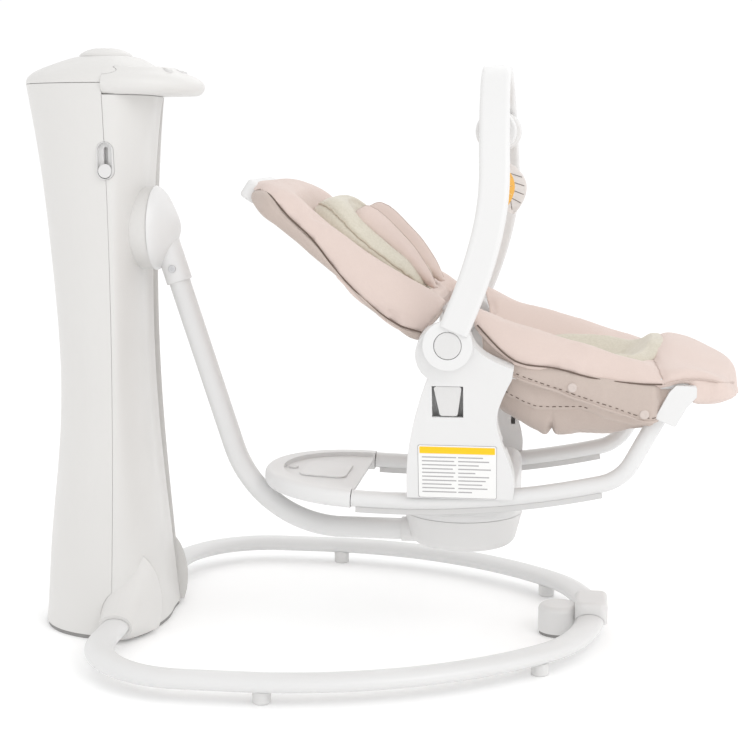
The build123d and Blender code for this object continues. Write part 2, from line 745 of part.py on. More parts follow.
with BuildPart() as battery_door:
    with BuildSketch(ARC_TILT.offset(10.5 - DECK_DROP)):
        with Locations((-46, 0)):
            RectangleRounded(56, 78, 12)
    extrude(amount=2.0)
    chamfer(battery_door.faces().sort_by(Axis.Z)[-1].edges(), 0.6)
save(battery_door.part, "battery_door")

with BuildPart() as vibration_box:
    with BuildSketch(ARC_TILT.offset(10.5 - DECK_DROP - WALL)):
        with Locations((-44, 0)):
            RectangleRounded(62, 84, 6)
    extrude(amount=-11.5)
save(vibration_box.part, "vibration_box")

with BuildPart() as vibration_button:
    with BuildSketch(ARC_TILT.offset(10.5 - DECK_DROP - 2)):
        with Locations((VIBRATE_X, 0)):
            Circle(BUTTON_R)
    extrude(amount=4.2)
    fillet(vibration_button.edges().group_by(Axis.Z)[-1], 1.0)
save(vibration_button.part, "vibration_button")

BRIDGE_IN = RAIL_Y - RAIL_W / 2 - 0.3
BRIDGE_X = 423.0
with BuildPart() as dock_bridge:
    with BuildSketch(Plane.XY.offset(163)):
        with Locations((BRIDGE_X, 0)):
            RectangleRounded(116, 2 * BRIDGE_IN, 24)
    extrude(amount=45)
    fillet(dock_bridge.faces().sort_by(Axis.Z)[-1].edges(), 14)
    with BuildSketch(Plane.XY.offset(163)):
        with Locations((BRIDGE_X, 0)):
            RectangleRounded(108, 2 * BRIDGE_IN - 8, 20)
    extrude(amount=36, mode=Mode.SUBTRACT)
    with BuildSketch(Plane.XY.offset(DOCK_TOP + 1)):
        with Locations((BRIDGE_X, 0)):
            RectangleRounded(110, 2 * BRIDGE_IN - 12, 20)
    extrude(amount=8)
    with BuildSketch(Plane.XY.offset(DOCK_TOP - PLUG_DEEP)):
        with Locations((DOCK_X, 0)):
            Circle(PLUG_R)
            Circle(PLUG_R - 6, mode=Mode.SUBTRACT)
    extrude(amount=PLUG_DEEP + 2)
save(dock_bridge.part, "dock_bridge")

# ---------------------------------------------------------------- side panels
FLARE_SIN, FLARE_COS = sin(radians(FLARE)), cos(radians(FLARE))
PANEL_PLANE = Plane((0, -PANEL_FOOT_Y, PANEL_FOOT_Z), x_dir=(1, 0, 0), z_dir=(0, -FLARE_COS, -FLARE_SIN))
LATCH_X, LATCH_Z = 407.5, 304.0


def up(z):
    """Height up the leaning panel for a height above the floor."""
    return (z - PANEL_FOOT_Z) / FLARE_COS


def panel_outline(inset=0.0):
    """Silhouette of a side panel with its forward branch to the seat frame."""
    d = inset
    with BuildSketch() as face:
        with BuildLine():
            rear = Spline((361 + d, d), (364 + d, up(250)), (373 + d, up(292)), (386 + d, up(330)))
            crown = ThreePointArc(rear @ 1, (398 + d / 3, up(388) - d), (433 - d / 2, up(376) - d))
            shoulder = Spline(crown @ 1, (443 - d / 2, up(360) - d), (459 - d / 2, up(350) - d),
                              (479 - d, up(342) - d))
            tip = Line(shoulder @ 1, (477 - d, up(330)))
            front = Spline(tip @ 1, (468 - d, up(311)), (461 - d, up(285)), (473 - d, up(240)), (478 - d, d))
            Line(front @ 1, rear @ 0)
        make_face()
    return face.sketch


with BuildPart() as panel_outer:
    with BuildSketch(PANEL_PLANE.offset(PANEL_T + 0.2)):
        add(panel_outline())
    extrude(amount=PANEL_T)
    with BuildSketch(PANEL_PLANE.offset(PANEL_T + 0.2)):
        add(panel_outline(WALL))
    extrude(amount=PANEL_T - WALL, mode=Mode.SUBTRACT)
    with BuildSketch(Plane.XZ.offset(BOSS_IN)):
        with Locations(HUB_C):
            Circle(BOSS_R)
    extrude(amount=BOSS_OUT - BOSS_IN)
    with BuildSketch(PANEL_PLANE):
        with Locations((LATCH_X, up(LATCH_Z))):
            Rectangle(34, 36)
    extrude(amount=40, mode=Mode.SUBTRACT)
    with BuildSketch(Plane.XZ.offset(BOSS_OUT)):
        with Locations((HUB_C[0], HUB_C[1])):
            Rectangle(300, 400)
    extrude(amount=40, mode=Mode.SUBTRACT)
    with BuildSketch(Plane.XZ.offset(BOSS_IN - 5)):
        with Locations(HUB_C):
            Circle(9.6)
    extrude(amount=60, mode=Mode.SUBTRACT)
    split(bisect_by=PANEL_PLANE.offset(PANEL_T + 0.2), keep=Keep.TOP)
    add(rail(-1, 0.3, False), mode=Mode.SUBTRACT)
panel_outer_left = panel_outer.part.solids().sort_by(SortBy.VOLUME)[-1]

with BuildPart() as panel_inner:
    with BuildSketch(PANEL_PLANE):
        add(panel_outline())
    extrude(amount=PANEL_T)
    with BuildSketch(PANEL_PLANE.offset(WALL)):
        add(panel_outline(WALL))
    extrude(amount=PANEL_T, mode=Mode.SUBTRACT)
    with BuildSketch(Plane.XZ.offset(BOSS_IN - 12)):
        with Locations(HUB_C):
            Circle(9.6)
    extrude(amount=60, mode=Mode.SUBTRACT)
    with BuildSketch(PANEL_PLANE):
        with Locations((468, up(236)), (468, up(252))):
            Rectangle(5, 10)
    extrude(amount=20, mode=Mode.SUBTRACT)
    add(rail(-1, 0.3, False), mode=Mode.SUBTRACT)
panel_inner_left = panel_inner.part.solids().sort_by(SortBy.VOLUME)[-1]

with BuildPart() as panel_space:
    with BuildSketch(PANEL_PLANE.offset(-0.4)):
        add(panel_outline(-0.4))
    extrude(amount=2 * PANEL_T)

with BuildPart() as latch:
    with BuildSketch(PANEL_PLANE.offset(PANEL_T + 1.5)):
        with BuildLine():
            Polyline((LATCH_X - 15.5, up(LATCH_Z + 17)), (LATCH_X + 15.5, up(LATCH_Z + 17)),
                     (LATCH_X + 10.5, up(LATCH_Z - 16.5)), (LATCH_X - 8.5, up(LATCH_Z - 16.5)), close=True)
        make_face()
    extrude(amount=6.5)
    fillet(latch.edges().filter_by(Axis((0, 0, 0), PANEL_PLANE.z_dir)), 3)
latch_left = latch.part

with BuildPart() as hub_cap:
    with BuildSketch(Plane.XZ.offset(BAR_IN + 6)):
        with Locations(HUB_C):
            Circle(CAP_R)
    extrude(amount=BAR_OUT + 0.4 - BAR_IN - 6)
    fillet(hub_cap.faces().sort_by(Axis.Y)[0].edges(), 1.6)
    with BuildSketch(Plane.XZ.offset(BOSS_OUT - 8)):
        with Locations(HUB_C):
            Circle(5)
    extrude(amount=15.5)
cap_left = hub_cap.part

FRAME_START = (466.0, 331.4)
FRAME_SLOPE = 2.9
FRAME_LONG = 246.0
FRAME_PLANE = Plane((FRAME_START[0], 0, FRAME_START[1]),
                    x_dir=(cos(radians(FRAME_SLOPE)), 0, -sin(radians(FRAME_SLOPE))),
                    z_dir=(sin(radians(FRAME_SLOPE)), 0, cos(radians(FRAME_SLOPE))))


def hoop(plane, long, half, corner, radius, bore=0.0):
    """U-shaped tube in a plane, open at its near end."""
    with BuildLine() as line:
        FilletPolyline((0, -half), (long, -half), (long, half), (0, half), radius=corner)
    route = line.line.moved(plane.location)
    with BuildPart() as tube:
        with BuildSketch(Plane(route @ 0, x_dir=(0, 1, 0), z_dir=route % 0)):
            Circle(radius)
            if bore:
                Circle(bore, mode=Mode.SUBTRACT)
        sweep(path=route)
    return tube.part


frame_cutter = hoop(FRAME_PLANE, FRAME_LONG, FRAME_Y, 90, FRAME_R + 0.3)


def socket_block(grow=0.0):
    """Moulded elbow that takes the front leg below and the seat frame above."""
    with BuildPart() as block:
        with BuildSketch(Plane.XZ.offset(96 - grow)):
            with BuildLine():
                Polyline((630, 285), (645, 314), (652, 321.5), (674, 320.6), (674, 309), (664, 298),
                         (652, 276), close=True)
            make_face()
            if grow:
                offset(amount=grow)
        extrude(amount=34 + 2 * grow)
    return block.part


with BuildPart() as leg_socket:
    add(socket_block())
    fillet(leg_socket.edges().filter_by(Axis.Y), 2.5)
    add(rail(-1, 0.2, False), mode=Mode.SUBTRACT)
    add(frame_cutter, mode=Mode.SUBTRACT)
socket_left = leg_socket.part.solids().sort_by(SortBy.VOLUME)[-1]

save(both_sides(panel_outer_left), "side_panel_covers")
save(both_sides(panel_inner_left), "side_panel_backs")
save(both_sides(socket_left), "leg_sockets")
for piece, name in ((latch_left, "fold_latch"), (cap_left, "hub_cap")):
    save(piece, f"{name}_left")
    save(Part(mirror(piece, about=Plane.XZ).wrapped), f"{name}_right")

# ---------------------------------------------------------------- seat
with BuildPart() as seat_frame:
    add(hoop(FRAME_PLANE, FRAME_LONG, FRAME_Y, 90, FRAME_R, FRAME_R - 1.2))
    for side in (-1, 1):
        with BuildSketch(Plane.XZ.offset(-side * (FRAME_Y + FRAME_R - 1))):
            with Locations((FRAME_START[0] + 5, FRAME_START[1])):
                Circle(4.5)
        extrude(amount=-side * 2.0)
save(seat_frame.part, "seat_frame")

SEAT_TOP = [(441, 409), (468, 399), (500, 385), (555, 368), (600, 356), (636, 346),
            (661, 353), (689, 349), (712, 338), (728, 320)]
SEAT_EDGE = [(727, 306), (700, 306), (655, 315), (601, 318), (545, 326), (490, 340), (455, 366)]
with BuildPart() as seat_pad:
    with BuildSketch(Plane.XZ.offset(SEAT_HALF)):
        with BuildLine():
            crown = Spline(*SEAT_TOP)
            nose = Line(crown @ 1, SEAT_EDGE[0])
            under = Spline(*SEAT_EDGE)
            Line(under @ 1, crown @ 0)
        make_face()
    extrude(amount=-2 * SEAT_HALF)
    with BuildSketch(Plane.XY.offset(280)):
        with BuildLine():
            side_a = Spline((430, -132), (500, -SEAT_HALF), (600, -133), (690, -112), (729, -62))
            tip = ThreePointArc(side_a @ 1, (733, 0), (729, 62))
            side_b = Spline(tip @ 1, (690, 112), (600, 133), (500, SEAT_HALF), (430, 132))
            Line(side_b @ 1, side_a @ 0)
        make_face()
    extrude(amount=160, mode=Mode.INTERSECT)
    with BuildSketch(Plane.XZ.offset(TUB_HALF)):
        with BuildLine():
            Polyline((418, 352), (456, 372), (500, 350), (640, 325), (640, 303), (575, 276),
                     (500, 268), (440, 288), (418, 322), close=True)
        make_face()
    extrude(amount=-2 * TUB_HALF)
    with BuildSketch(Plane.XY.offset(292)):
        with Locations((532, 0)):
            RectangleRounded(150, 116, 40)
    extrude(amount=130, taper=-13, mode=Mode.SUBTRACT)
    with BuildSketch(Plane.XY.offset(317)):
        with Locations((440, 0)):
            Rectangle(80, 150)
    extrude(amount=110, mode=Mode.SUBTRACT)
    add(frame_cutter, mode=Mode.SUBTRACT)
    add(socket_block(0.5), mode=Mode.SUBTRACT)
    add(mirror(socket_block(0.5), about=Plane.XZ), mode=Mode.SUBTRACT)
seat_body = seat_pad.part.solids().sort_by(SortBy.VOLUME)[-1]
save(Part(seat_body.wrapped), "seat_pad")

with BuildPart() as seat_insert:
    with BuildSketch(Plane.XY.offset(292.4)):
        with Locations((532, 0)):
            RectangleRounded(140, 106, 36)
    extrude(amount=9)
save(seat_insert.part, "seat_insert")

LINER_HALF = 128.0
with BuildPart() as liner:
    with BuildSketch(Plane.XZ.offset(LINER_HALF)):
        with BuildLine():
            Polyline((482, 336), (640, 311), (662, 306), (668, 300), (628, 284), (601, 257),
                     (566, 250), (510, 247), (478, 256), (440, 270), (428, 300), (474, 322), close=True)
        make_face()
    extrude(amount=-2 * LINER_HALF)
    with BuildSketch(Plane.XZ.offset(TUB_HALF + 0.4)):
        with BuildLine():
            Polyline((400, 372), (456, 372), (500, 350), (640.4, 345), (640.4, 302.6), (575.2, 275.6),
                     (500, 267.5), (439.7, 287.6), (400, 322), close=True)
        make_face()
    extrude(amount=-2 * TUB_HALF - 0.8, mode=Mode.SUBTRACT)
    with BuildSketch(Plane.XY.offset(240)):
        with Locations((540, LINER_HALF + 19), (540, -LINER_HALF - 19)):
            Rectangle(400, 50)
    extrude(amount=62, taper=-14, mode=Mode.SUBTRACT)
    add(frame_cutter, mode=Mode.SUBTRACT)
    for side in (-1, 1):
        with BuildSketch(Plane.XZ.offset(-side * 112 + 20)):
            Polygon((618, 270), (640, 330), (700, 330), (700, 270), align=None)
        extrude(amount=-40, mode=Mode.SUBTRACT)
    add(seat_body, mode=Mode.SUBTRACT)
    add(panel_space.part, mode=Mode.SUBTRACT)
    add(mirror(panel_space.part, about=Plane.XZ), mode=Mode.SUBTRACT)
liner_main = liner.part.solids().sort_by(SortBy.VOLUME)[-1]
save(Part(liner_main.wrapped), "seat_liner")

BELT_T = 2.0
with BuildPart() as buckle:
    with BuildSketch(Plane.XY.offset(318)):
        with Locations((548, 0)):
            RectangleRounded(34, 46, 9)
    extrude(amount=12)
    fillet(buckle.faces().sort_by(Axis.Z)[-1].edges(), 3)
save(buckle.part, "harness_buckle")

with BuildPart() as harness_straps:
    with BuildSketch(Plane.XZ.offset(14)):
        with BuildLine():
            Polyline((572, 301.8), (574, 301.8), (567.5, 326), (565.4, 326), close=True)
        make_face()
    extrude(amount=-28)
    for side in (-1, 1):
        with BuildSketch(Plane.XY.offset(322)):
            with Locations((542, side * 38)):
                Rectangle(24, 29)
        extrude(amount=BELT_T)
save(harness_straps.part, "harness_straps")

# ---------------------------------------------------------------- backrest
BACK_PLANE = Plane((HUB_C[0], 0, HUB_C[1]),
                   x_dir=(-cos(radians(BACK_ANGLE)), 0, sin(radians(BACK_ANGLE))),
                   z_dir=(sin(radians(BACK_ANGLE)), 0, cos(radians(BACK_ANGLE))))
BACK_SIDE = Plane((HUB_C[0], 0, HUB_C[1]),
                  x_dir=(-cos(radians(BACK_ANGLE)), 0, sin(radians(BACK_ANGLE))), z_dir=(0, 1, 0))
BACK_FRAME_R = 6.0
BACK_FRAME_N = -9.0
BACK_FRAME_TILT = 3.2


def back_frame(radius, bore=0.0):
    """Hoop along the backrest's sides and head."""
    return hoop(BACK_PLANE.offset(BACK_FRAME_N).rotated((0, -BACK_FRAME_TILT, 0)), 261, 112, 70, radius, bore)


def back_body(top, low, half):
    """Extrude a side outline of the backrest, rounded in plan."""
    with BuildPart() as body:
        with BuildSketch(BACK_SIDE.offset(-half)):
            with BuildLine():
                crown = Spline(*top)
                under = Spline(*low)
                Line(crown @ 0, under @ 0)
                Line(crown @ 1, under @ 1)
            make_face()
        extrude(amount=2 * half)
        with BuildSketch(BACK_PLANE.offset(-60)):
            with BuildLine():
                side_a = Spline((24, -half + 8), (80, -half), (160, -half + 2), (232, -half + 14),
                                (272, -half + 40))
                tip = ThreePointArc(side_a @ 1, (290, 0), (272, half - 40))
                side_b = Spline(tip @ 1, (232, half - 14), (160, half - 2), (80, half), (24, half - 8))
                Line(side_b @ 1, side_a @ 0)
            make_face()
        extrude(amount=140, mode=Mode.INTERSECT)
    return body.part


def handle_block(grow=0.0):
    """Grip across the head of the backrest; it can be drawn larger to clear its neighbours."""
    with BuildPart() as block:
        with BuildSketch(BACK_PLANE.offset(-5 - grow)):
            with Locations((281.5, 0)):
                RectangleRounded(22 + 2 * grow, 130 + 2 * grow, 9)
        extrude(amount=22 + 2 * grow)
    return block.part


BACK_CROWN = [(44, 33), (95, 26), (146, 26), (203, 30), (238, 33), (262, 29), (290, 12)]
BACK_SEAM = [(44, -13), (75, -15), (116, -13), (167, -1), (217, 9), (266, 13), (290, 10)]
BACK_UNDER = [(26, -30), (62, -27), (116, -21), (170, -9), (237, -5), (265, -4), (290, 2)]
with BuildPart() as backrest_pad:
    add(back_body(BACK_CROWN, BACK_SEAM, BACK_HALF))
    with BuildSketch(BACK_PLANE.offset(60)):
        with Locations((132, 0)):
            RectangleRounded(196, 184, 50)
    extrude(amount=-41, taper=6, mode=Mode.SUBTRACT)
    add(back_frame(BACK_FRAME_R + 0.5), mode=Mode.SUBTRACT)
    add(handle_block(0.5), mode=Mode.SUBTRACT)
save(backrest_pad.part, "backrest_pad")

with BuildPart() as backrest_liner:
    add(back_body([(26, -13.4), (75, -15.4), (116, -13.4), (167, -1.4), (217, 8.6), (266, 12.6), (290, 9.6)],
                  BACK_UNDER, BACK_HALF - 5))
    add(back_frame(BACK_FRAME_R + 0.5), mode=Mode.SUBTRACT)
    add(handle_block(0.5), mode=Mode.SUBTRACT)
save(Part(backrest_liner.part.solids().sort_by(SortBy.VOLUME)[-1].wrapped), "backrest_liner")

with BuildPart() as back_hoop:
    add(back_frame(BACK_FRAME_R, BACK_FRAME_R - 1.2))
    for side in (-1, 1):
        with BuildSketch(Plane.XZ.offset(-side * 119)):
            with Locations(HUB_C):
                Circle(17)
        extrude(amount=-side * 9)
        with BuildSketch(Plane.XZ.offset(-side * 127)):
            with Locations(HUB_C):
                Circle(9.3)
        extrude(amount=-side * 17)
save(back_hoop.part, "backrest_frame")

with BuildPart() as head_handle:
    add(handle_block())
    fillet(head_handle.faces().sort_by(Axis((0, 0, 0), BACK_PLANE.z_dir))[-1].edges(), 4)
    fillet(head_handle.faces().sort_by(Axis((0, 0, 0), BACK_PLANE.z_dir))[0].edges(), 4)
save(head_handle.part, "head_handle")

INSERT_LOW, INSERT_HIGH = 19.6, 44.0
with BuildPart() as backrest_insert:
    with BuildSketch(BACK_PLANE.offset(INSERT_LOW)):
        with Locations((132, 0)):
            RectangleRounded(178, 160, 50)
    extrude(amount=INSERT_HIGH - INSERT_LOW)
    fillet(backrest_insert.faces().sort_by(Axis((0, 0, 0), BACK_PLANE.z_dir))[-1].edges(), 9)
    with BuildSketch(BACK_PLANE.offset(INSERT_HIGH + 1)):
        with Locations((132, 0)):
            RectangleRounded(136, 60, 28)
    extrude(amount=-16, taper=8, mode=Mode.SUBTRACT)
save(backrest_insert.part, "backrest_insert")

WING_Y, WING_T = 46.0, 26.0
with BuildPart() as wing:
    with BuildSketch(BACK_SIDE.offset(WING_Y - WING_T / 2)):
        with BuildLine():
            ridge = Spline((60, INSERT_HIGH + 0.4), (84, 64), (120, 76.5), (152, 76.5), (172, 62),
                           (174, INSERT_HIGH + 0.4))
            Line(ridge @ 1, ridge @ 0)
        make_face()
    extrude(amount=WING_T)
    fillet(wing.edges().filter_by(GeomType.BSPLINE), 6)
save(both_sides(wing.part), "head_wings")

# ---------------------------------------------------------------- toy bar
def arch_point(turn):
    """Centre of the toy bar, turn degrees round from its near foot to its far foot."""
    rise = sin(radians(turn))
    lean = ARCH_LEAN * sin(radians(90 * min(1.0, rise / 0.6))) - 5 * max(0.0, rise - 0.6) / 0.4
    return Vector(HUB_C[0] + lean, -ARCH_HALF * cos(radians(turn)), HUB_C[1] + ARCH_RISE * rise)


def arch():
    """Loft the bar through rounded sections square to its centre line."""
    with BuildPart() as bar:
        for turn in [3, 9, 16, 24, 33, 43, 54, 66, 78, 90, 102, 114, 126, 137, 147, 156, 164, 171, 177]:
            along = (arch_point(turn + 1) - arch_point(turn - 1)).normalized()
            across = (Vector(1, 0, 0) - along * along.X).normalized()
            with BuildSketch(Plane(arch_point(turn), x_dir=across, z_dir=along)):
                RectangleRounded(ARCH_W, ARCH_T, 5)
        loft()
    return bar.part


arch_body = arch()
with BuildPart() as toy_bar:
    add(arch_body)
    for side in (-1, 1):
        with BuildSketch(Plane.XZ.offset(-side * BAR_IN)):
            with Locations(HUB_C):
                Circle(27.0)
        extrude(amount=-side * (BAR_OUT - BAR_IN))
        with BuildSketch(Plane.XZ.offset(-side * (BAR_IN + 3.4))):
            with Locations(HUB_C):
                Circle(CAP_R + 0.4)
        extrude(amount=-side * 30, mode=Mode.SUBTRACT)
        with BuildSketch(Plane.XZ.offset(-side * 147)):
            with Locations(HUB_C):
                Circle(9.3)
        extrude(amount=-side * (BAR_IN + 1 - 147))
        with BuildSketch(Plane.XZ.offset(-side * 140)):
            with Locations(HUB_C):
                Circle(5.4)
        extrude(amount=-side * 40, mode=Mode.SUBTRACT)
save(toy_bar.part, "toy_bar")

PUCK_Y, PUCK_T = 71.0, 12.0
PUCK_X = arch_point(50).X
PEG_Z = PUCK_Z - PUCK_R - 5.0
with BuildPart() as puck:
    with BuildSketch(Plane.XZ.offset(PUCK_Y - PUCK_T / 2)):
        with Locations((PUCK_X, PUCK_Z)):
            Circle(PUCK_R)
    extrude(amount=PUCK_T)
    fillet(puck.edges(), 3)
    with BuildSketch(Plane.XZ.offset(PUCK_Y)):
        with Locations((PUCK_X, PUCK_Z)):
            Circle(8)
    extrude(amount=40)
    for gap in (-4.6, 2.6):
        with BuildSketch(Plane.XZ.offset(PUCK_Y + gap)):
            with Locations((PUCK_X, PEG_Z + 2.5)):
                Rectangle(6, 11)
        extrude(amount=2)
    with BuildSketch(Plane.XZ.offset(PUCK_Y - 3.6)):
        with Locations((PUCK_X, PEG_Z)):
            Circle(1.4)
    extrude(amount=7.2)
    add(arch_body, mode=Mode.SUBTRACT)
save(both_sides(puck.part.solids().sort_by(SortBy.VOLUME)[-1]), "toy_pucks")

for side, word in ((-1, "left"), (1, "right")):
    with BuildPart() as leaf:
        with BuildSketch(Plane.XZ.offset(-side * PUCK_Y - 2)):
            with Locations((PUCK_X, PEG_Z)):
                Circle(3.6)
            with Locations((PUCK_X, PEG_Z - 6)):
                Rectangle(3, 6)
            with BuildLine():
                half_a = Spline((PUCK_X, PEG_Z - 7), (PUCK_X + 17, PEG_Z - 32), (PUCK_X, PEG_Z - 72))
                half_b = Spline((PUCK_X, PEG_Z - 72), (PUCK_X - 17, PEG_Z - 32), (PUCK_X, PEG_Z - 7))
            make_face()
            with Locations((PUCK_X, PEG_Z)):
                Circle(1.7, mode=Mode.SUBTRACT)
        extrude(amount=4)
    save(leaf.part, f"leaf_toy_{word}")
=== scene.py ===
"""Looks of the baby swing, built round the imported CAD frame.  Metres, origin on the floor under the tower."""
from math import cos, exp, pi, radians, sin, sqrt, tan

import bmesh
import bpy
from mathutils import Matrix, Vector, noise
from mathutils.bvhtree import BVHTree
from mathutils.kdtree import KDTree


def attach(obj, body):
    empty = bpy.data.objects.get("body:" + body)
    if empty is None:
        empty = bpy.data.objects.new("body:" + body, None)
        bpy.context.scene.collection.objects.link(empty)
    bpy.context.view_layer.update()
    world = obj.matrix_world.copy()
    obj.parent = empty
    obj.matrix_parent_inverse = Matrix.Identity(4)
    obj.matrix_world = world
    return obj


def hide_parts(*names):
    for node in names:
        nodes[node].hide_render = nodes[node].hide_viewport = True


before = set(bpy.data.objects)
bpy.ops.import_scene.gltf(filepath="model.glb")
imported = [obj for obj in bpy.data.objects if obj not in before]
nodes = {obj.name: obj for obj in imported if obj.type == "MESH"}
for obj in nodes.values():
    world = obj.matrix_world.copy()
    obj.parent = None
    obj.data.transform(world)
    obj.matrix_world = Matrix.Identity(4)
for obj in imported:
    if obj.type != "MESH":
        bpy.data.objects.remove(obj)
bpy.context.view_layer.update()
MM = 0.001

# ---------------------------------------------------------------- shared places, as the CAD has them
PIN = Vector((0.409, 0.0, 0.365))         # recline and toy-bar axis
BACK_RISE = radians(33)                   # backrest above level
PANEL_ORIGIN = Vector((0, -0.104, 0.1915))
PANEL_UP = Vector((0, -sin(radians(11)), cos(radians(11))))
PANEL_OUT = Vector((0, -cos(radians(11)), -sin(radians(11))))
PANEL_FACE = 0.0182                       # outer face of the side panel from its inner one


def smooth(t):
    """Smooth step from 0 to 1."""
    t = min(1.0, max(0.0, t))
    return t * t * (3 - 2 * t)


def curve_at(points, t):
    """Value of a curve through (t, value) points, by cubic steps."""
    if t <= points[0][0]:
        return points[0][1]
    if t >= points[-1][0]:
        return points[-1][1]
    last = len(points) - 1
    k = next(i for i in range(last) if points[i][0] <= t <= points[i + 1][0])
    (t0, a), (t1, b) = points[k], points[k + 1]
    before, after = points[max(0, k - 1)], points[min(last, k + 2)]
    slope_a = (b - before[1]) / (t1 - before[0])
    slope_b = (after[1] - a) / (after[0] - t0)
    w, h = (t - t0) / (t1 - t0), t1 - t0
    return ((2 * w**3 - 3 * w**2 + 1) * a + (w**3 - 2 * w**2 + w) * h * slope_a
            + (3 * w**2 - 2 * w**3) * b + (w**3 - w**2) * h * slope_b)


# ---------------------------------------------------------------- camera, light and world
def look_along(obj, direction):
    obj.rotation_euler = Vector(direction).to_track_quat("-Z", "Y").to_euler()


YAW, PITCH = radians(7.5), radians(8.76)
camera_data = bpy.data.cameras.new("camera")
camera_data.sensor_width = 36.0
camera_data.lens = 74.9
camera = bpy.data.objects.new("camera", camera_data)
camera.location = (0.549, -1.813, 0.587)
look_along(camera, (-sin(YAW) * cos(PITCH), cos(YAW) * cos(PITCH), -sin(PITCH)))
bpy.context.scene.collection.objects.link(camera)
bpy.context.scene.camera = camera


def area_light(name, place, target, size, power, tint=(1, 1, 1)):
    data = bpy.data.lights.new(name, "AREA")
    data.shape = "RECTANGLE"
    data.size, data.size_y = size
    data.energy = power
    data.color = tint
    light = bpy.data.objects.new(name, data)
    light.location = place
    look_along(light, Vector(target) - Vector(place))
    bpy.context.scene.collection.objects.link(light)


area_light("key", (1.9, -1.4, 1.9), (0.2, 0, 0.35), (1.6, 1.4), 13)
area_light("back", (0.5, 1.9, 1.8), (0.35, 0, 0.4), (2.2, 1.2), 4)
world = bpy.data.worlds.new("studio")
bpy.context.scene.world = world
world.use_nodes = True
world.node_tree.nodes["Background"].inputs["Color"].default_value = (1, 1, 1, 1)
world.node_tree.nodes["Background"].inputs["Strength"].default_value = 1.03
bpy.context.scene.view_settings.view_transform = "Standard"


# ---------------------------------------------------------------- materials
class Paint:
    """A procedural material: one Principled shader, with nodes added by short calls."""

    def __init__(self, name, colour, roughness, metallic=0.0, sheen=0.0, coat=0.0):
        self.material = bpy.data.materials.new(name)
        self.material.use_nodes = True
        self.tree = self.material.node_tree
        self.shader = self.tree.nodes["Principled BSDF"]
        self.colour = colour
        self.set("Base Color", (*colour, 1))
        self.set("Roughness", roughness)
        self.set("Metallic", metallic)
        self.set("Sheen Weight", sheen)
        self.set("Sheen Roughness", 0.45)
        self.set("Coat Weight", coat)
        self.set("Coat Roughness", 0.25)
        self.point = self.node("ShaderNodeTexCoord").outputs["Object"]
        self.bumps = None

    def set(self, socket, value):
        self.shader.inputs[socket].default_value = value

    def node(self, kind, **values):
        made = self.tree.nodes.new(kind)
        for key, value in values.items():
            setattr(made, key, value)
        return made

    def link(self, start, end):
        self.tree.links.new(start, end)

    def math(self, operation, first, second=0.0):
        made = self.node("ShaderNodeMath", operation=operation)
        for socket, value in zip(made.inputs, (first, second)):
            if isinstance(value, (int, float)):
                socket.default_value = value
            else:
                self.link(value, socket)
        return made.outputs[0]

    def noise(self, scale, detail=2.0, stretch=(1, 1, 1)):
        """Noise at scale per metre."""
        squeeze = self.node("ShaderNodeMapping")
        squeeze.inputs["Scale"].default_value = stretch
        self.link(self.point, squeeze.inputs["Vector"])
        made = self.node("ShaderNodeTexNoise")
        made.inputs["Scale"].default_value = scale
        made.inputs["Detail"].default_value = detail
        self.link(squeeze.outputs["Vector"], made.inputs["Vector"])
        return made.outputs["Fac"]

    def spread(self, value, low, high, start=0.35, end=0.65):
        """Map a 0..1 pattern on to low..high."""
        made = self.node("ShaderNodeMapRange")
        for socket, number in zip(("From Min", "From Max", "To Min", "To Max"), (start, end, low, high)):
            made.inputs[socket].default_value = number
        self.link(value, made.inputs["Value"])
        return made.outputs["Result"]

    def tint(self, value, dark, light):
        """Colour between dark and light, both as shares of the base colour."""
        mix = self.node("ShaderNodeMix", data_type="RGBA")
        mix.inputs["A"].default_value = (*[min(1.0, c * d) for c, d in zip(self.colour, dark)], 1)
        mix.inputs["B"].default_value = (*[min(1.0, c * d) for c, d in zip(self.colour, light)], 1)
        self.link(value, mix.inputs["Factor"])
        self.link(mix.outputs["Result"], self.shader.inputs["Base Color"])

    def rough(self, value, low, high):
        self.link(self.spread(value, low, high), self.shader.inputs["Roughness"])

    def bump(self, height, distance, strength=1.0):
        made = self.node("ShaderNodeBump")
        made.inputs["Distance"].default_value = distance
        made.inputs["Strength"].default_value = strength
        self.link(height, made.inputs["Height"])
        if self.bumps is not None:
            self.link(self.bumps, made.inputs["Normal"])
        self.bumps = made.outputs["Normal"]
        self.link(self.bumps, self.shader.inputs["Normal"])

    def soft_edges(self, radius):
        """Round sharp edges in the shading."""
        made = self.node("ShaderNodeBevel", samples=4)
        made.inputs["Radius"].default_value = radius
        self.bumps = made.outputs["Normal"]
        self.link(self.bumps, self.shader.inputs["Normal"])

    def threads(self, pitch):
        """A plain weave: 1 on the crowns of the threads, 0 in the gaps, whatever way the cloth faces."""
        axes = self.node("ShaderNodeSeparateXYZ")
        self.link(self.point, axes.inputs[0])
        across = self.math("ADD", axes.outputs["Y"], axes.outputs["Z"])
        wander = self.math("MULTIPLY", self.noise(90, 2), 3.0)
        along = self.math("MULTIPLY", axes.outputs["X"], 2 * pi / pitch)
        warp = self.math("SINE", self.math("ADD", along, wander))
        weft = self.math("SINE", self.math("ADD", self.math("MULTIPLY", across, 2 * pi / pitch), wander))
        over = self.math("MULTIPLY", warp, weft)
        return self.spread(over, 0, 1, -1, 1)


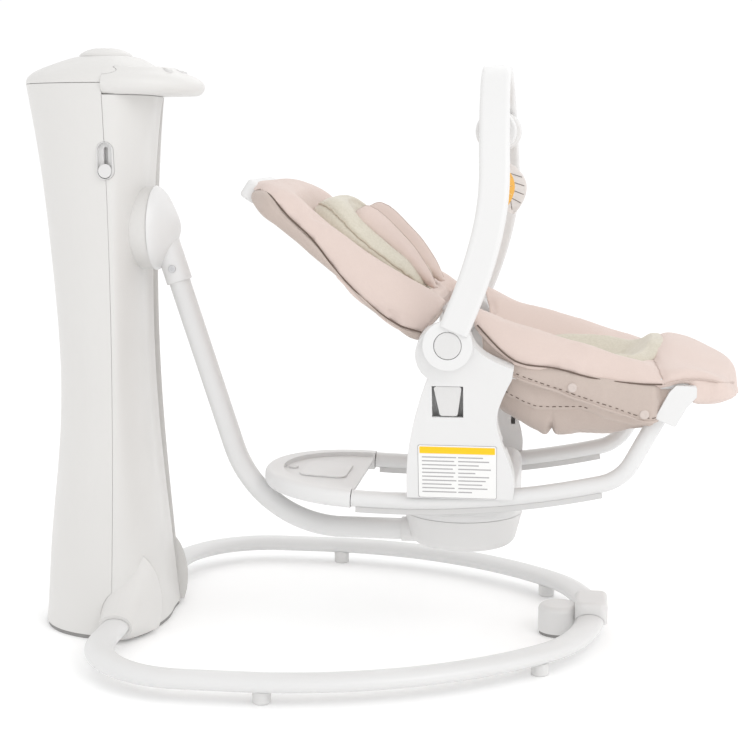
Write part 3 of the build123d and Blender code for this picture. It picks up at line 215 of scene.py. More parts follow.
def plastic(name, colour, roughness=0.4, grain=1500, edge=0.0008):
    """Moulded plastic with a fine spark-eroded texture and faint colour drift."""
    paint = Paint(name, colour, roughness)
    paint.soft_edges(edge)
    paint.tint(paint.noise(9, 3), (0.975, 0.972, 0.968), (1.012, 1.012, 1.012))
    paint.rough(paint.noise(26, 4), roughness - 0.05, roughness + 0.06)
    paint.bump(paint.noise(grain, 2), 0.00012, 0.5)
    return paint.material


def powder_coat(name, colour):
    """Painted steel tube: a smooth coat with slight orange peel."""
    paint = Paint(name, colour, 0.34, coat=0.15)
    paint.tint(paint.noise(7, 2), (0.985, 0.985, 0.985), (1.008, 1.008, 1.008))
    paint.rough(paint.noise(30, 3), 0.3, 0.4)
    paint.bump(paint.noise(420, 3), 0.00018, 0.4)
    return paint.material


def woven(name, colour, pitch, melange=0.05, relief=0.00022, roughness=0.88, sheen=0.25):
    """Woven cloth with two thread directions and a mottled yarn."""
    paint = Paint(name, colour, roughness, sheen=sheen)
    threads = paint.threads(pitch)
    flecks = paint.noise(0.55 / pitch, 4, (1, 1, 0.6))
    drift = paint.noise(14, 3)
    low = 1 - melange
    mixed = paint.math("ADD", paint.math("MULTIPLY", threads, 0.45),
                       paint.math("ADD", paint.math("MULTIPLY", flecks, 0.4),
                                  paint.math("MULTIPLY", drift, 0.15)))
    paint.tint(paint.spread(mixed, 0, 1, 0.15, 0.85), (low, low * 0.985, low * 0.975), (1.02, 1.02, 1.02))
    paint.bump(paint.noise(38, 4), 0.0009, 0.35)
    paint.bump(threads, relief, 0.7)
    return paint.material


def knitted(name, colour):
    """Soft knitted padding: small rounded loops."""
    paint = Paint(name, colour, 0.9, sheen=0.3)
    loops = paint.node("ShaderNodeTexVoronoi", feature="SMOOTH_F1")
    loops.inputs["Scale"].default_value = 620
    paint.link(paint.point, loops.inputs["Vector"])
    paint.tint(paint.spread(paint.noise(420, 3), 0, 1), (0.94, 0.935, 0.92), (1.02, 1.02, 1.02))
    paint.bump(paint.noise(42, 4), 0.0008, 0.3)
    paint.bump(loops.outputs["Distance"], 0.0003, 0.6)
    return paint.material


def metal(name, colour, roughness):
    paint = Paint(name, colour, roughness, metallic=1.0)
    paint.soft_edges(0.0003)
    paint.rough(paint.noise(300, 3, (1, 8, 1)), roughness - 0.08, roughness + 0.1)
    paint.bump(paint.noise(900, 2, (1, 10, 1)), 0.00005, 0.4)
    return paint.material


SHELL = plastic("shell_plastic_warm", (0.705, 0.695, 0.68))
SHELL_BRIGHT = plastic("shell_plastic_bright", (0.76, 0.758, 0.756), 0.38)
SHELL_GREY = plastic("shell_plastic_grey", (0.73, 0.725, 0.72), 0.42)
KNOB = plastic("shell_plastic_button", (0.70, 0.695, 0.69), 0.34)
STUD = plastic("stud_plastic", (0.62, 0.54, 0.50), 0.4)
INNER = plastic("inner_plastic_pale", (0.66, 0.655, 0.65), 0.5)
TUBE = powder_coat("tube_paint", (0.735, 0.733, 0.73))
ZINC = metal("zinc_plated", (0.62, 0.62, 0.63), 0.35)
COPPER = metal("copper_winding", (0.72, 0.38, 0.2), 0.4)
BOARD = plastic("circuit_board_green", (0.05, 0.22, 0.1), 0.45)
BLACK = plastic("black_moulding", (0.02, 0.02, 0.022), 0.45)
RUBBER = plastic("grip_rubber_grey", (0.30, 0.295, 0.29), 0.75, 900)
STRIP = plastic("grip_strip_pale", (0.62, 0.615, 0.61), 0.7, 900)
PINK = woven("blush_weave", (0.72, 0.60, 0.55), 0.0011)
PINK_DARK = woven("blush_weave_piping", (0.60, 0.49, 0.44), 0.0009)
CREAM = knitted("cream_knit", (0.63, 0.59, 0.50))
CREAM_WELT = knitted("cream_knit_welt", (0.56, 0.51, 0.42))
TAUPE = woven("taupe_weave", (0.58, 0.49, 0.44), 0.0010, melange=0.10)
BROWN = woven("brown_piping", (0.17, 0.12, 0.095), 0.0008, melange=0.2)
WEBBING = woven("blush_webbing", (0.70, 0.58, 0.53), 0.0016, relief=0.0004)
LEAF_YELLOW = woven("leaf_plush_yellow", (0.86, 0.47, 0.10), 0.0008)
LEAF_GOLD = woven("leaf_stitch_gold", (0.92, 0.63, 0.26), 0.0006)
LEAF_WHITE = woven("leaf_plush_white", (0.78, 0.745, 0.725), 0.0008)
LEAF_LINE = woven("leaf_stitch_grey", (0.22, 0.19, 0.18), 0.0006)
LABEL_WHITE = plastic("label_white", (0.86, 0.86, 0.85), 0.5)
LABEL_YELLOW = plastic("label_yellow", (1.0, 0.58, 0.0), 0.5)
LABEL_GREY = plastic("label_grey", (0.4, 0.39, 0.4), 0.5)

NODE_PAINT = {
    "tower_front_shell": SHELL, "tower_rear_shell": SHELL, "tower_lid": SHELL, "control_visor": SHELL,
    "power_button": SHELL, "slider_escutcheon": SHELL_GREY, "mode_slider": KNOB, "arm_hub": SHELL_BRIGHT,
    "dock_cup": SHELL_GREY, "swivel_table": SHELL_BRIGHT, "dock_release_button": KNOB,
    "dock_bridge": SHELL_BRIGHT,
    "rocker_rear_arc": SHELL_BRIGHT, "battery_door": SHELL_BRIGHT, "vibration_button": KNOB,
    "side_panel_covers": SHELL_BRIGHT, "side_panel_backs": SHELL_BRIGHT, "leg_sockets": SHELL_BRIGHT,
    "fold_latch_left": KNOB, "fold_latch_right": KNOB, "hub_cap_left": KNOB, "hub_cap_right": KNOB,
    "toy_bar": SHELL_BRIGHT, "toy_pucks": SHELL_BRIGHT, "front_foot_clip": SHELL_GREY,
    "floor_posts": SHELL_GREY,
    "head_handle": SHELL_BRIGHT, "visor_button_1": KNOB, "visor_button_2": KNOB, "visor_button_3": KNOB,
    "tower_base_plate": INNER, "vibration_box": INNER, "speaker": BLACK, "harness_buckle": SHELL_BRIGHT,
    "floor_tube_left": TUBE, "floor_tube_right": TUBE, "arm_tube": TUBE, "rocker_rails": TUBE,
    "seat_frame": TUBE,
    "backrest_frame": TUBE, "drive_bracket": ZINC, "pivot_shaft": ZINC, "shaft_bearings": ZINC,
    "drive_lever_and_magnet": ZINC, "arm_screw": ZINC, "drive_coil": COPPER, "control_board": BOARD,
    "power_inlet": BLACK, "rubber_feet": RUBBER, "rocker_strips": STRIP,
}


def repaint(obj, material):
    obj.data.materials.clear()
    obj.data.materials.append(material)


for node_name, node_object in nodes.items():
    repaint(node_object, NODE_PAINT.get(node_name, PINK))


# ---------------------------------------------------------------- tools for sewn pieces
def new_piece(name, points, faces, material):
    """A smooth-shaded mesh object from points in metres."""
    mesh = bpy.data.meshes.new(name)
    mesh.from_pydata([tuple(p) for p in points], [], faces)
    mesh.validate()
    shape = bmesh.new()
    shape.from_mesh(mesh)
    bmesh.ops.remove_doubles(shape, verts=shape.verts, dist=1e-6)
    bmesh.ops.recalc_face_normals(shape, faces=shape.faces)
    shape.to_mesh(mesh)
    shape.free()
    mesh.materials.append(material)
    mesh.polygons.foreach_set("use_smooth", [True] * len(mesh.polygons))
    obj = bpy.data.objects.new(name, mesh)
    bpy.context.scene.collection.objects.link(obj)
    return obj


def loft_rings(name, rings, material):
    """Join equal closed rings of points in a row, and close both ends."""
    count = len(rings[0])
    points = [p for ring in rings for p in ring]
    faces = []
    for r in range(len(rings) - 1):
        for k in range(count):
            after = (k + 1) % count
            faces.append((r * count + k, r * count + after, (r + 1) * count + after, (r + 1) * count + k))
    for r in (0, len(rings) - 1):
        middle = sum((Vector(p) for p in rings[r]), Vector()) / count
        points.append(middle)
        hub = len(points) - 1
        faces += [(r * count + k, r * count + (k + 1) % count, hub) for k in range(count)]
    return new_piece(name, points, faces, material)


def apply_modifiers(obj):
    """Bake the modifiers on obj into its mesh."""
    bpy.context.view_layer.update()
    solved = obj.evaluated_get(bpy.context.evaluated_depsgraph_get())
    mesh = bpy.data.meshes.new_from_object(solved)
    obj.modifiers.clear()
    obj.data = mesh
    mesh.polygons.foreach_set("use_smooth", [True] * len(mesh.polygons))


def subdivide(obj, levels=1):
    obj.modifiers.new("subdivision", "SUBSURF").levels = levels
    apply_modifiers(obj)


CLOTH_FRAMES = 20         # length of each filling simulation


def stuff(obj, voxel, cap, pressure=4.0):
    """Fill a sewn shell by a cloth simulation, with no point moving further than cap."""
    material = obj.data.materials[0]
    remesh = obj.modifiers.new("remesh", "REMESH")
    remesh.mode = "VOXEL"
    remesh.voxel_size = voxel
    apply_modifiers(obj)
    start = [v.co.copy() for v in obj.data.vertices]
    cloth = obj.modifiers.new("cloth", "CLOTH")
    cloth.settings.use_pressure = True
    cloth.settings.uniform_pressure_force = pressure
    cloth.settings.effector_weights.gravity = 0
    cloth.settings.quality = 4
    cloth.settings.mass = 0.25
    cloth.settings.tension_stiffness = 12
    cloth.settings.bending_stiffness = 0.4
    cloth.point_cache.frame_start = 1
    cloth.point_cache.frame_end = CLOTH_FRAMES
    for frame_number in range(1, CLOTH_FRAMES + 1):
        bpy.context.scene.frame_set(frame_number)
    solved = obj.evaluated_get(bpy.context.evaluated_depsgraph_get())
    moved = [v.co.copy() for v in solved.data.vertices]
    obj.modifiers.clear()
    bpy.context.scene.frame_set(1)
    for vertex, a, b in zip(obj.data.vertices, start, moved):
        step = b - a
        vertex.co = a + step * min(1.0, cap / max(step.length, 1e-9))
    subdivide(obj)
    repaint(obj, material)


def line_points(points, count):
    """Even points along a smooth line through a few."""
    spots = [Vector(p) for p in points]
    last = len(spots) - 1
    result = []
    for k in range(count):
        t = k / (count - 1) * last
        i = min(int(t), last - 1)
        f = t - i
        a, b = spots[i], spots[i + 1]
        before = spots[i - 1] if i else a * 2 - b
        after = spots[i + 2] if i + 2 <= last else b * 2 - a
        result.append(0.5 * (2 * a + (b - before) * f + (2 * before - 5 * a + 4 * b - after) * f * f
                             + (3 * a - before - 3 * b + after) * f**3))
    return result


def settle(points, obj, lift=0.0):
    """Move points on to the nearest place of a mesh, then outward by lift."""
    tree = BVHTree.FromObject(obj, bpy.context.evaluated_depsgraph_get())
    result = []
    for p in points:
        place, normal, _, _ = tree.find_nearest(p)
        result.append(place + normal * lift)
    return result


def even(points, reach=4, rounds=3):
    """Iron the kinks out of a line of points, keeping its ends."""
    last = len(points) - 1
    for _ in range(rounds):
        smoothed = []
        for k in range(last + 1):
            near = min(reach, k, last - k)
            smoothed.append(sum(points[k - near:k + near + 1], Vector()) / (2 * near + 1))
        points = smoothed
    return points


def hug(points, obj):
    """Slide a line of points across its run on to a mesh, keeping each point's height."""
    tree = BVHTree.FromObject(obj, bpy.context.evaluated_depsgraph_get())
    result = []
    for p in points:
        inward = Vector((0, -1 if p.y > 0 else 1, 0))
        place, normal, _, _ = tree.ray_cast(p - inward * 0.03, inward, 0.09)
        result.append(p if place is None else place - inward * 0.0015)
    return even(result, 3, 2)


def press_line(obj, points, depth, width):
    """Sink a groove of the given depth and width along a line of points on a padded piece."""
    tree = KDTree(len(points))
    for index, p in enumerate(points):
        tree.insert(p, index)
    tree.balance()
    mesh = obj.data
    normals = [v.normal.copy() for v in mesh.vertices]
    for vertex, normal in zip(mesh.vertices, normals):
        _, _, far = tree.find(vertex.co)
        if far < 3 * width:
            vertex.co -= normal * depth * exp(-((far / width) ** 2))
    mesh.update()


def ruffle(obj, depth, scale, seed):
    """Slight unevenness of a padded surface."""
    mesh = obj.data
    normals = [v.normal.copy() for v in mesh.vertices]
    shift = Vector((seed, seed * 0.7, -seed))
    for vertex, normal in zip(mesh.vertices, normals):
        vertex.co += normal * depth * noise.noise(vertex.co * scale + shift)
    mesh.update()


def cord_mesh(name, points, radius, material, sides=8, closed=False):
    """A round piping along a line of points."""
    rings = []
    count = len(points)
    for k, p in enumerate(points):
        ahead = points[(k + 1) % count] if closed else points[min(k + 1, count - 1)]
        behind = points[k - 1] if closed or k else points[0]
        along = (ahead - behind).normalized()
        side = along.cross(Vector((0.13, 0.21, 1))).normalized()
        rise = side.cross(along)
        rings.append([p + radius * (cos(2 * pi * j / sides) * side + sin(2 * pi * j / sides) * rise)
                      for j in range(sides)])
    if closed:
        rings.append(rings[0])
    return loft_rings(name, rings, material)


def stitches(name, points, material, length=0.0035, radius=0.0005):
    """A row of separate stitches along a line of points: every other pair of points is joined."""
    runs = []
    walked = 0.0
    for a, b in zip(points, points[1:]):
        if int(walked / length) % 2 == 0:
            runs.append((a, b))
        walked += (b - a).length
    parts = [cord_mesh(f"{name}_{k}", [a, b], radius, material, 5) for k, (a, b) in enumerate(runs)]
    return join(name, parts)


def join(name, parts):
    """Join pieces into one object."""
    bpy.ops.object.select_all(action="DESELECT")
    for part in parts:
        part.select_set(True)
    bpy.context.view_layer.objects.active = parts[0]
    bpy.ops.object.join()
    parts[0].name = name
    parts[0].select_set(False)
    return parts[0]


def place(obj, body, slot, *stands_for):
    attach(obj, body)
    if stands_for:
        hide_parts(*stands_for)


def mm(x, y, z):
    return Vector((x, y, z)) * MM


def back_place(s, y, n):
    """Place on the backrest, in millimetres along, across and above its mid line."""
    return PIN + mm(-s * cos(BACK_RISE) + n * sin(BACK_RISE), y, s * sin(BACK_RISE) + n * cos(BACK_RISE))


# ---------------------------------------------------------------- seat cover, insert and liner
SEAT_CROWN = [(432, 410), (450, 401), (475, 389), (500, 379), (535, 366), (560, 359), (585, 351), (610, 344),
              (633, 337), (650, 337), (670, 335), (690, 329), (710, 320), (724, 308), (733, 303)]
SEAT_MIDDLE = [(432, 345), (460, 322), (500, 306), (532, 300), (570, 303), (600, 316), (620, 334), (632, 350),
               (645, 359), (660, 357), (677, 352), (709, 337), (718, 331), (727, 320), (733, 306)]
SEAT_PIPING = [(432, 388), (442, 380), (460, 361), (481, 345), (522, 339), (566, 328), (601, 324), (637, 323),
               (665, 328), (694, 324), (715, 317), (733, 303)]
SEAT_WIDTH = [(432, 132), (470, 137), (500, 139), (560, 138.5), (600, 138), (640, 137.5), (660, 133),
              (690, 115)]
SEAT_START, FOOT_SEAM, SLIT, FOOT_BEND, SEAT_TIP = 432, 637, 672, 690, 733
ROLL = 20                 # how far the crown of the side roll lies in from the edge
PAD_THICK = 12
FOOT_UNDER = 298          # height of the cover's underside in front of the liner
FOOT_SEAM_HALF = 132      # half width that the foot seam runs across


def seat_half(x):
    """Half width of the seat cover."""
    if x <= FOOT_BEND:
        return curve_at(SEAT_WIDTH, x)
    share = min(1.0, (x - FOOT_BEND) / (SEAT_TIP - FOOT_BEND))
    return 115 * max(0.0, 1 - share**2.5) ** (1 / 2.5)


def seat_top(x, y):
    """Height of the seat cover's upper face."""
    half = seat_half(x)
    inner = max(1e-3, half - ROLL)
    crown, piping = curve_at(SEAT_CROWN, x), curve_at(SEAT_PIPING, x)
    middle = curve_at(SEAT_MIDDLE, x)
    across = abs(y)
    if across <= inner:
        return middle + (crown - middle) * (1 - cos(pi * (across / inner) ** 1.35)) / 2
    share = min(1.0, (across - inner) / (half - inner))
    return piping + (crown - piping) * sqrt(max(0.0, 1 - share**2))


def seat_under(x, y):
    """Height of the seat cover's underside."""
    half, piping = seat_half(x), curve_at(SEAT_PIPING, x) - 6
    edge = smooth((abs(y) - (half - 50)) / 50)
    hung = seat_top(x, y) - PAD_THICK
    foot = FOOT_UNDER + (piping - FOOT_UNDER) * (smooth((abs(y) - 66) / 28) if x < SLIT else 0)
    mixed = hung + (piping - hung) * edge
    return min(mixed + (min(foot, mixed) - mixed) * smooth((x - 640) / 22), seat_top(x, y) - 2)


def seat_ring(x, inset):
    """Closed section of the seat cover at x."""
    half = max(0.5, seat_half(x) - inset)
    inner = max(0.2, half - ROLL)
    spots = [-half + (half - inner) * (1 - cos(a * pi / 16)) for a in range(8)]
    spots += [-inner + 2 * inner * k / 30 for k in range(31)]
    spots += [-y for y in reversed(spots[:8])]
    scale = seat_half(x) / half
    ring = [mm(x, y, seat_top(x, y * scale) - inset * 0.7) for y in spots]
    ring += [mm(x, y, seat_under(x, y * scale) + inset * 0.2) for y in reversed(spots)]
    return ring


SHRINK = 2.5              # the sewn shells start a little small, because filling swells them
SEAT_STATIONS = [SEAT_START + SHRINK + k * 6 for k in range(40)]
SEAT_STATIONS += [671, 673, 678, 684, 690, 696, 702, 708, 714, 719, 723, 727, 730]
seat_cover = loft_rings("seat_cover", [seat_ring(x, SHRINK) for x in SEAT_STATIONS], PINK)
stuff(seat_cover, 0.0045, 0.004)
ruffle(seat_cover, 0.0014, 26, 3.1)
foot_seam = []
for k in range(61):
    y = -FOOT_SEAM_HALF + 2 * FOOT_SEAM_HALF * k / 60
    x = FOOT_SEAM - 10 * (1 - (abs(y) / FOOT_SEAM_HALF) ** 2)
    foot_seam.append(mm(x, y, seat_top(x, y)))
foot_seam = settle(foot_seam, seat_cover)
press_line(seat_cover, foot_seam, 0.0035, 0.005)
place(seat_cover, "rocker", "pink_fabric", "seat_pad")
foot_line = cord_mesh("foot_seam", settle(foot_seam, seat_cover, 0.0002), 0.0007, PINK_DARK, 6)
place(foot_line, "rocker", "pink_fabric")


def seat_edge(side, first, last, count):
    """Points along the seat cover's piping."""
    steps = [first + (last - first) * k / (count - 1) for k in range(count)]
    return [mm(x, side * (seat_half(x) + 0.6), curve_at(SEAT_PIPING, x)) for x in steps]


pipings = []
for side in (-1, 1):
    line = hug(seat_edge(side, 438, FOOT_SEAM, 80), seat_cover)
    pipings.append(cord_mesh("edge", line, 0.0009, BROWN))
seat_piping = join("seat_piping", pipings)
place(seat_piping, "rocker", "beige_fabric")
foot_pipings = []
for side in (-1, 1):
    line = hug(seat_edge(side, FOOT_SEAM + 2, SEAT_TIP - 14, 50), seat_cover)
    foot_pipings.append(cord_mesh("foot_edge", line, 0.0009, PINK_DARK))
foot_piping = join("foot_piping", foot_pipings)
place(foot_piping, "rocker", "pink_fabric")

INSERT_MIDDLE, INSERT_LONG, INSERT_WIDE = 563, 84, 97


def plan_disc(centre, long, wide, power, height, under, rings=22, turns=96):
    """Rings of a flat cushion of squared-oval plan, from the middle of its top to the middle below."""
    result = []
    for face, order in ((height, range(0, rings + 1)), (under, range(rings, -1, -1))):
        for r in order:
            share = sin(pi / 2 * r / rings)
            ring = []
            for k in range(turns):
                turn = 2 * pi * k / turns
                a = abs(cos(turn)) ** (2 / power) * (1 if cos(turn) >= 0 else -1)
                b = abs(sin(turn)) ** (2 / power) * (1 if sin(turn) >= 0 else -1)
                along, across = centre + long * share * a, wide * share * b
                ring.append((along, across, face(along, across, share)))
            result.append(ring)
    return result


def insert_top(x, y, share):
    return seat_top(x, y) + 1 + 10 * max(0.0, 1 - share**5) ** 0.5


def insert_under(x, y, share):
    return seat_top(x, y) - 2


rings = [[mm(*p) for p in ring] for ring in
         plan_disc(INSERT_MIDDLE, INSERT_LONG - 2, INSERT_WIDE - 2, 3.0, insert_top, insert_under)]
seat_insert = loft_rings("seat_insert_pad", rings, CREAM)
stuff(seat_insert, 0.004, 0.0045)
ruffle(seat_insert, 0.0012, 30, 8.3)
FOLD = [(589, -34, 0), (594, 0, 0), (600, 40, 0)]
fold = [mm(x, y, insert_top(x, y, 0)) for x, y, _ in line_points(FOLD, 40)]
press_line(seat_insert, fold, 0.0035, 0.0035)
place(seat_insert, "rocker", "cream_fabric", "seat_insert")

LINER_INSET = 2.8         # how far the liner's sides lie in from the seat cover's
LINER_BAND = [(440, 352), (460, 338), (478, 328), (533, 309), (581, 294), (621, 282), (650, 284), (664, 298)]
LINER_TIER = [(440, 330), (467, 306), (500, 291), (549, 290), (561, 288), (600, 276), (640, 276), (664, 296)]
LINER_POUCH = [(440, 300), (460, 284), (485, 270), (504, 260), (515, 257), (519, 268), (523, 258), (535, 256),
               (549, 258), (566, 258), (582, 258), (600, 262), (623, 268), (645, 280), (664, 296)]


def liner_ring(x):
    """Closed section of the liner that hangs under the seat."""
    half = seat_half(x) - LINER_INSET - 12 * smooth((x - 628) / 10)
    top = curve_at(SEAT_PIPING, x) + 4
    band, tier, low = curve_at(LINER_BAND, x), curve_at(LINER_TIER, x), curve_at(LINER_POUCH, x)
    tier, low = min(tier, band - 1.5), min(low, min(tier, band - 1.5) - 1.5)
    tuck = min(4.0, (band - tier) * 0.4)
    side = [(half - 3, top), (half, top - 0.15 * (top - band)), (half + 0.5, (top + band) / 2),
            (half - 1.5, band + 2.5), (half - 3.5, band), (half - 7, band + 1), (half - 9.5, band + tuck * 0.6),
            (half - 13, (band + tier) / 2 + 2), (half - 16, tier + 3), (half - 19, tier),
            (half - 23, tier + 0.6), (half - 25, tier + 1.5), (half - 31, low + 0.62 * (tier - low)),
            (half - 40, low + 0.22 * (tier - low)),
            (half - 52, low + 1), (half - 70, low - 3), (half - 95, low - 6)]
    roof = [(half - 95, top - 14), (half - 55, top - 10), (half - 25, top - 5)]
    roof = [(y, max(z, low + 4)) for y, z in roof]
    ring = [mm(x, -y, z) for y, z in side]
    ring += [mm(x, y, z) for y, z in reversed(side)]
    ring += [mm(x, y, z) for y, z in reversed(roof)]
    ring += [mm(x, -y, z) for y, z in roof]
    return ring


liner = loft_rings("seat_sling", [liner_ring(442 + k * 2.5) for k in range(88)], TAUPE)
subdivide(liner, 1)
ruffle(liner, 0.0022, 34, 5.7)
ruffle(liner, 0.0011, 90, 2.2)
place(liner, "rocker", "beige_fabric", "seat_liner")
rows = []
for side in (-1, 1):
    for table, inward in ((LINER_BAND, 1.0), (LINER_TIER, 16.5)):
        last = 636 if table is LINER_BAND else 560
        spots = [462 + (last - 462) * k / 120 for k in range(121)]
        line = [mm(x, side * (seat_half(x) - LINER_INSET - inward), curve_at(table, x) + 4.5) for x in spots]
        rows.append(stitches("row", settle(line, liner, 0.0003), BROWN))
sling_stitches = join("sling_stitches", rows)
place(sling_stitches, "rocker", "beige_fabric")
hems = []
for side in (-1, 1):
    spots = [450 + (655 - 450) * k / 100 for k in range(101)]
    line = [mm(x, side * (seat_half(x) - 6), curve_at(LINER_BAND, x)) for x in spots]
    hems.append(cord_mesh("hem", settle(line, liner, 0.0005), 0.0018, TAUPE))
sling_hem = join("sling_hem", hems)
place(sling_hem, "rocker", "beige_fabric")


def snap(name, x, side, z, radius=5.2, turns=28):
    """Round press stud on the liner."""
    centre = settle([mm(x, side * 130, z)], liner, 0.0)[0]
    rings = []
    for reach, rise in ((radius, -0.6), (radius, 0.5), (radius * 0.9, 1.3), (radius * 0.55, 1.5),
                        (radius * 0.35, 1.0), (radius * 0.1, 0.9)):
        rings.append([centre + Vector((cos(2 * pi * k / turns) * reach * MM, side * rise * MM,
                                       sin(2 * pi * k / turns) * reach * MM)) for k in range(turns)])
    return loft_rings(name, rings, STUD)


snaps = join("sling_snaps", [snap("stud", x, side, z) for side in (-1, 1) for x, z in ((542, 318), (619, 291))])
place(snaps, "rocker", "shell_plastic")

# ---------------------------------------------------------------- backrest
BACK_CROWN = [(26, 36), (44, 33), (95, 26), (146, 26), (203, 30), (238, 33), (262, 29), (280, 19), (288, 8)]
BACK_PIPING = [(26, -10), (35, -10), (48, -16), (68, -18), (101, -15), (151, -4), (185, 8), (227, 14),
               (252, 21), (266, 20), (280, 8), (288, 4)]
BACK_UNDER = [(26, -20), (40, -24), (65, -22), (110, -17), (145, -11), (180, -7.5), (232, -4), (253, -3),
              (272, -1), (288, 3)]
BACK_WIDTH = [(24, 126), (80, 134), (160, 132), (232, 120)]
BACK_BEND, BACK_TIP = 232, 289
BACK_ROLL = 24            # how far the crown of the backrest's side roll lies in from the edge
TROUGH = 19.0             # floor of the hollow that the insert lies in


def back_half(s):
    if s <= BACK_BEND:
        return curve_at(BACK_WIDTH, s)
    share = min(1.0, (s - BACK_BEND) / (BACK_TIP - BACK_BEND))
    return 120 * max(0.0, 1 - share**2.3) ** (1 / 2.3)


def back_top(s, y):
    """Height of the backrest cover's upper face above its mid line."""
    half = back_half(s)
    inner = max(1e-3, half - BACK_ROLL)
    crown, piping = curve_at(BACK_CROWN, s), curve_at(BACK_PIPING, s)
    floor_n = min(crown, TROUGH + (crown - TROUGH) * smooth((s - 212) / 34))
    across = abs(y)
    if across <= inner:
        return floor_n + (crown - floor_n) * smooth((across / inner - 0.62) / 0.38)
    share = min(1.0, (across - inner) / (half - inner))
    return piping + (crown - piping) * sqrt(max(0.0, 1 - share**2))


def back_ring(s, inset):
    half = max(0.5, back_half(s) - inset)
    inner = max(0.2, half - BACK_ROLL)
    spots = [-half + (half - inner) * (1 - cos(a * pi / 16)) for a in range(8)]
    spots += [-inner + 2 * inner * k / 30 for k in range(31)]
    spots += [-y for y in reversed(spots[:8])]
    scale = back_half(s) / half
    ring = [back_place(s, y, back_top(s, y * scale) - inset * 0.7) for y in spots]
    low = curve_at(BACK_PIPING, s) - 4
    ring += [back_place(s, y, min(low, back_top(s, y * scale) - 8) + inset * 0.3) for y in reversed(spots)]
    return ring


stations = [27 + SHRINK + k * 6 for k in range(36)] + [248, 255, 262, 268, 273, 277, 281, 284, 286, 287.5]
back_cover = loft_rings("backrest_cover", [back_ring(s, SHRINK) for s in stations], PINK)
stuff(back_cover, 0.0045, 0.004)
ruffle(back_cover, 0.0013, 25, 6.6)
place(back_cover, "backrest", "pink_fabric", "backrest_pad")

edges = []
for side in (-1, 1):
    line = [back_place(s, side * (back_half(s) + 1), curve_at(BACK_PIPING, s))
            for s in [30 + (276 - 30) * k / 90 for k in range(91)]]
    edges.append(cord_mesh("edge", hug(line, back_cover), 0.0009, BROWN))
back_piping = join("backrest_piping", edges)
place(back_piping, "backrest", "beige_fabric")


def under_ring(s):
    """Closed section of the cloth skin behind the backrest."""
    half, top, low = back_half(s) - 3, curve_at(BACK_PIPING, s) + 1, curve_at(BACK_UNDER, s)
    low = min(low, top - 5)
    side = [(half, top), (half + 0.5, top - 0.4 * (top - low)), (half - 5, low + 1), (half - 16, low - 1.5),
            (half - 45, low - 2.0), (half * 0.3, low - 1)]
    ring = [back_place(s, -y, n) for y, n in side]
    ring += [back_place(s, y, n) for y, n in reversed(side)]
    ring += [back_place(s, y, top) for y in (half * 0.6, half * 0.2)]
    ring += [back_place(s, -y, top) for y in (half * 0.2, half * 0.6)]
    return ring


back_skin = loft_rings("backrest_skin", [under_ring(28 + k * 4) for k in range(64)], TAUPE)
subdivide(back_skin, 1)
ruffle(back_skin, 0.0016, 30, 1.7)
place(back_skin, "backrest", "beige_fabric", "backrest_liner")

HOOP_LONG, HOOP_HALF, HOOP_CORNER, HOOP_RADIUS = 256, 112, 70, 6
HOOP_START, HOOP_RISE = -9, tan(radians(3.2))  # the hoop climbs into the padding towards the head
PIN_PROFILE = ((108, 7), (110, 10), (118.5, 10), (119, 16), (120, 17), (127, 17), (128, 16), (128, 9.3),
               (143, 9.3), (144, 8.3))


def hoop_points():
    """Centre line of the hoop inside the backrest, from one pin to the other."""
    half_line = [(s, HOOP_HALF) for s in range(0, HOOP_LONG - HOOP_CORNER, 8)]
    for k in range(17):
        turn = pi / 2 * k / 16
        half_line.append((HOOP_LONG - HOOP_CORNER * (1 - sin(turn)), HOOP_HALF - HOOP_CORNER * (1 - cos(turn))))
    half_line += [(HOOP_LONG, y) for y in (28, 14)]
    route = half_line + [(HOOP_LONG, 0)] + [(s, -y) for s, y in reversed(half_line)]
    return [back_place(s, y, HOOP_START + s * HOOP_RISE) for s, y in route]


hoop_parts = [cord_mesh("hoop", hoop_points(), HOOP_RADIUS * MM, TUBE, 24)]
for side in (-1, 1):
    rings = [[PIN + mm(r * cos(2 * pi * k / 48), side * y, r * sin(2 * pi * k / 48)) for k in range(48)]
             for y, r in PIN_PROFILE]
    hoop_parts.append(loft_rings("pin", rings, TUBE))
backrest_hoop = join("backrest_hoop", hoop_parts)
place(backrest_hoop, "backrest", "painted_tube", "backrest_frame")

RIM_TOP = [(44, 22), (55, 27), (70, 31), (90, 35), (125, 39), (156, 44), (180, 50), (198, 51), (210, 46),
           (222, 30)]
CUSHION_MIDDLE, CUSHION_LONG, CUSHION_WIDE, CUSHION_POWER = 132, 88, 94, 2.8
OUTER_SEAM, INNER_SEAM = 0.955, 0.64  # shares of the insert's plan where its sewn lines run


def cushion_top(s, y, share):
    rim = curve_at(RIM_TOP, s) - TROUGH
    hollow = 0.42 + 0.58 * smooth((share - 0.42) / 0.3)
    return TROUGH + 1 + rim * hollow * max(0.0, 1 - max(0.0, (share - 0.80) / 0.2) ** 2.4) ** 0.5


def cushion_under(s, y, share):
    return TROUGH - 1


def cushion(name, shrink):
    rings = plan_disc(CUSHION_MIDDLE, CUSHION_LONG - shrink, CUSHION_WIDE - shrink, CUSHION_POWER, cushion_top,
                      cushion_under, rings=26)
    return loft_rings(name, [[back_place(*p) for p in ring] for ring in rings], CREAM)


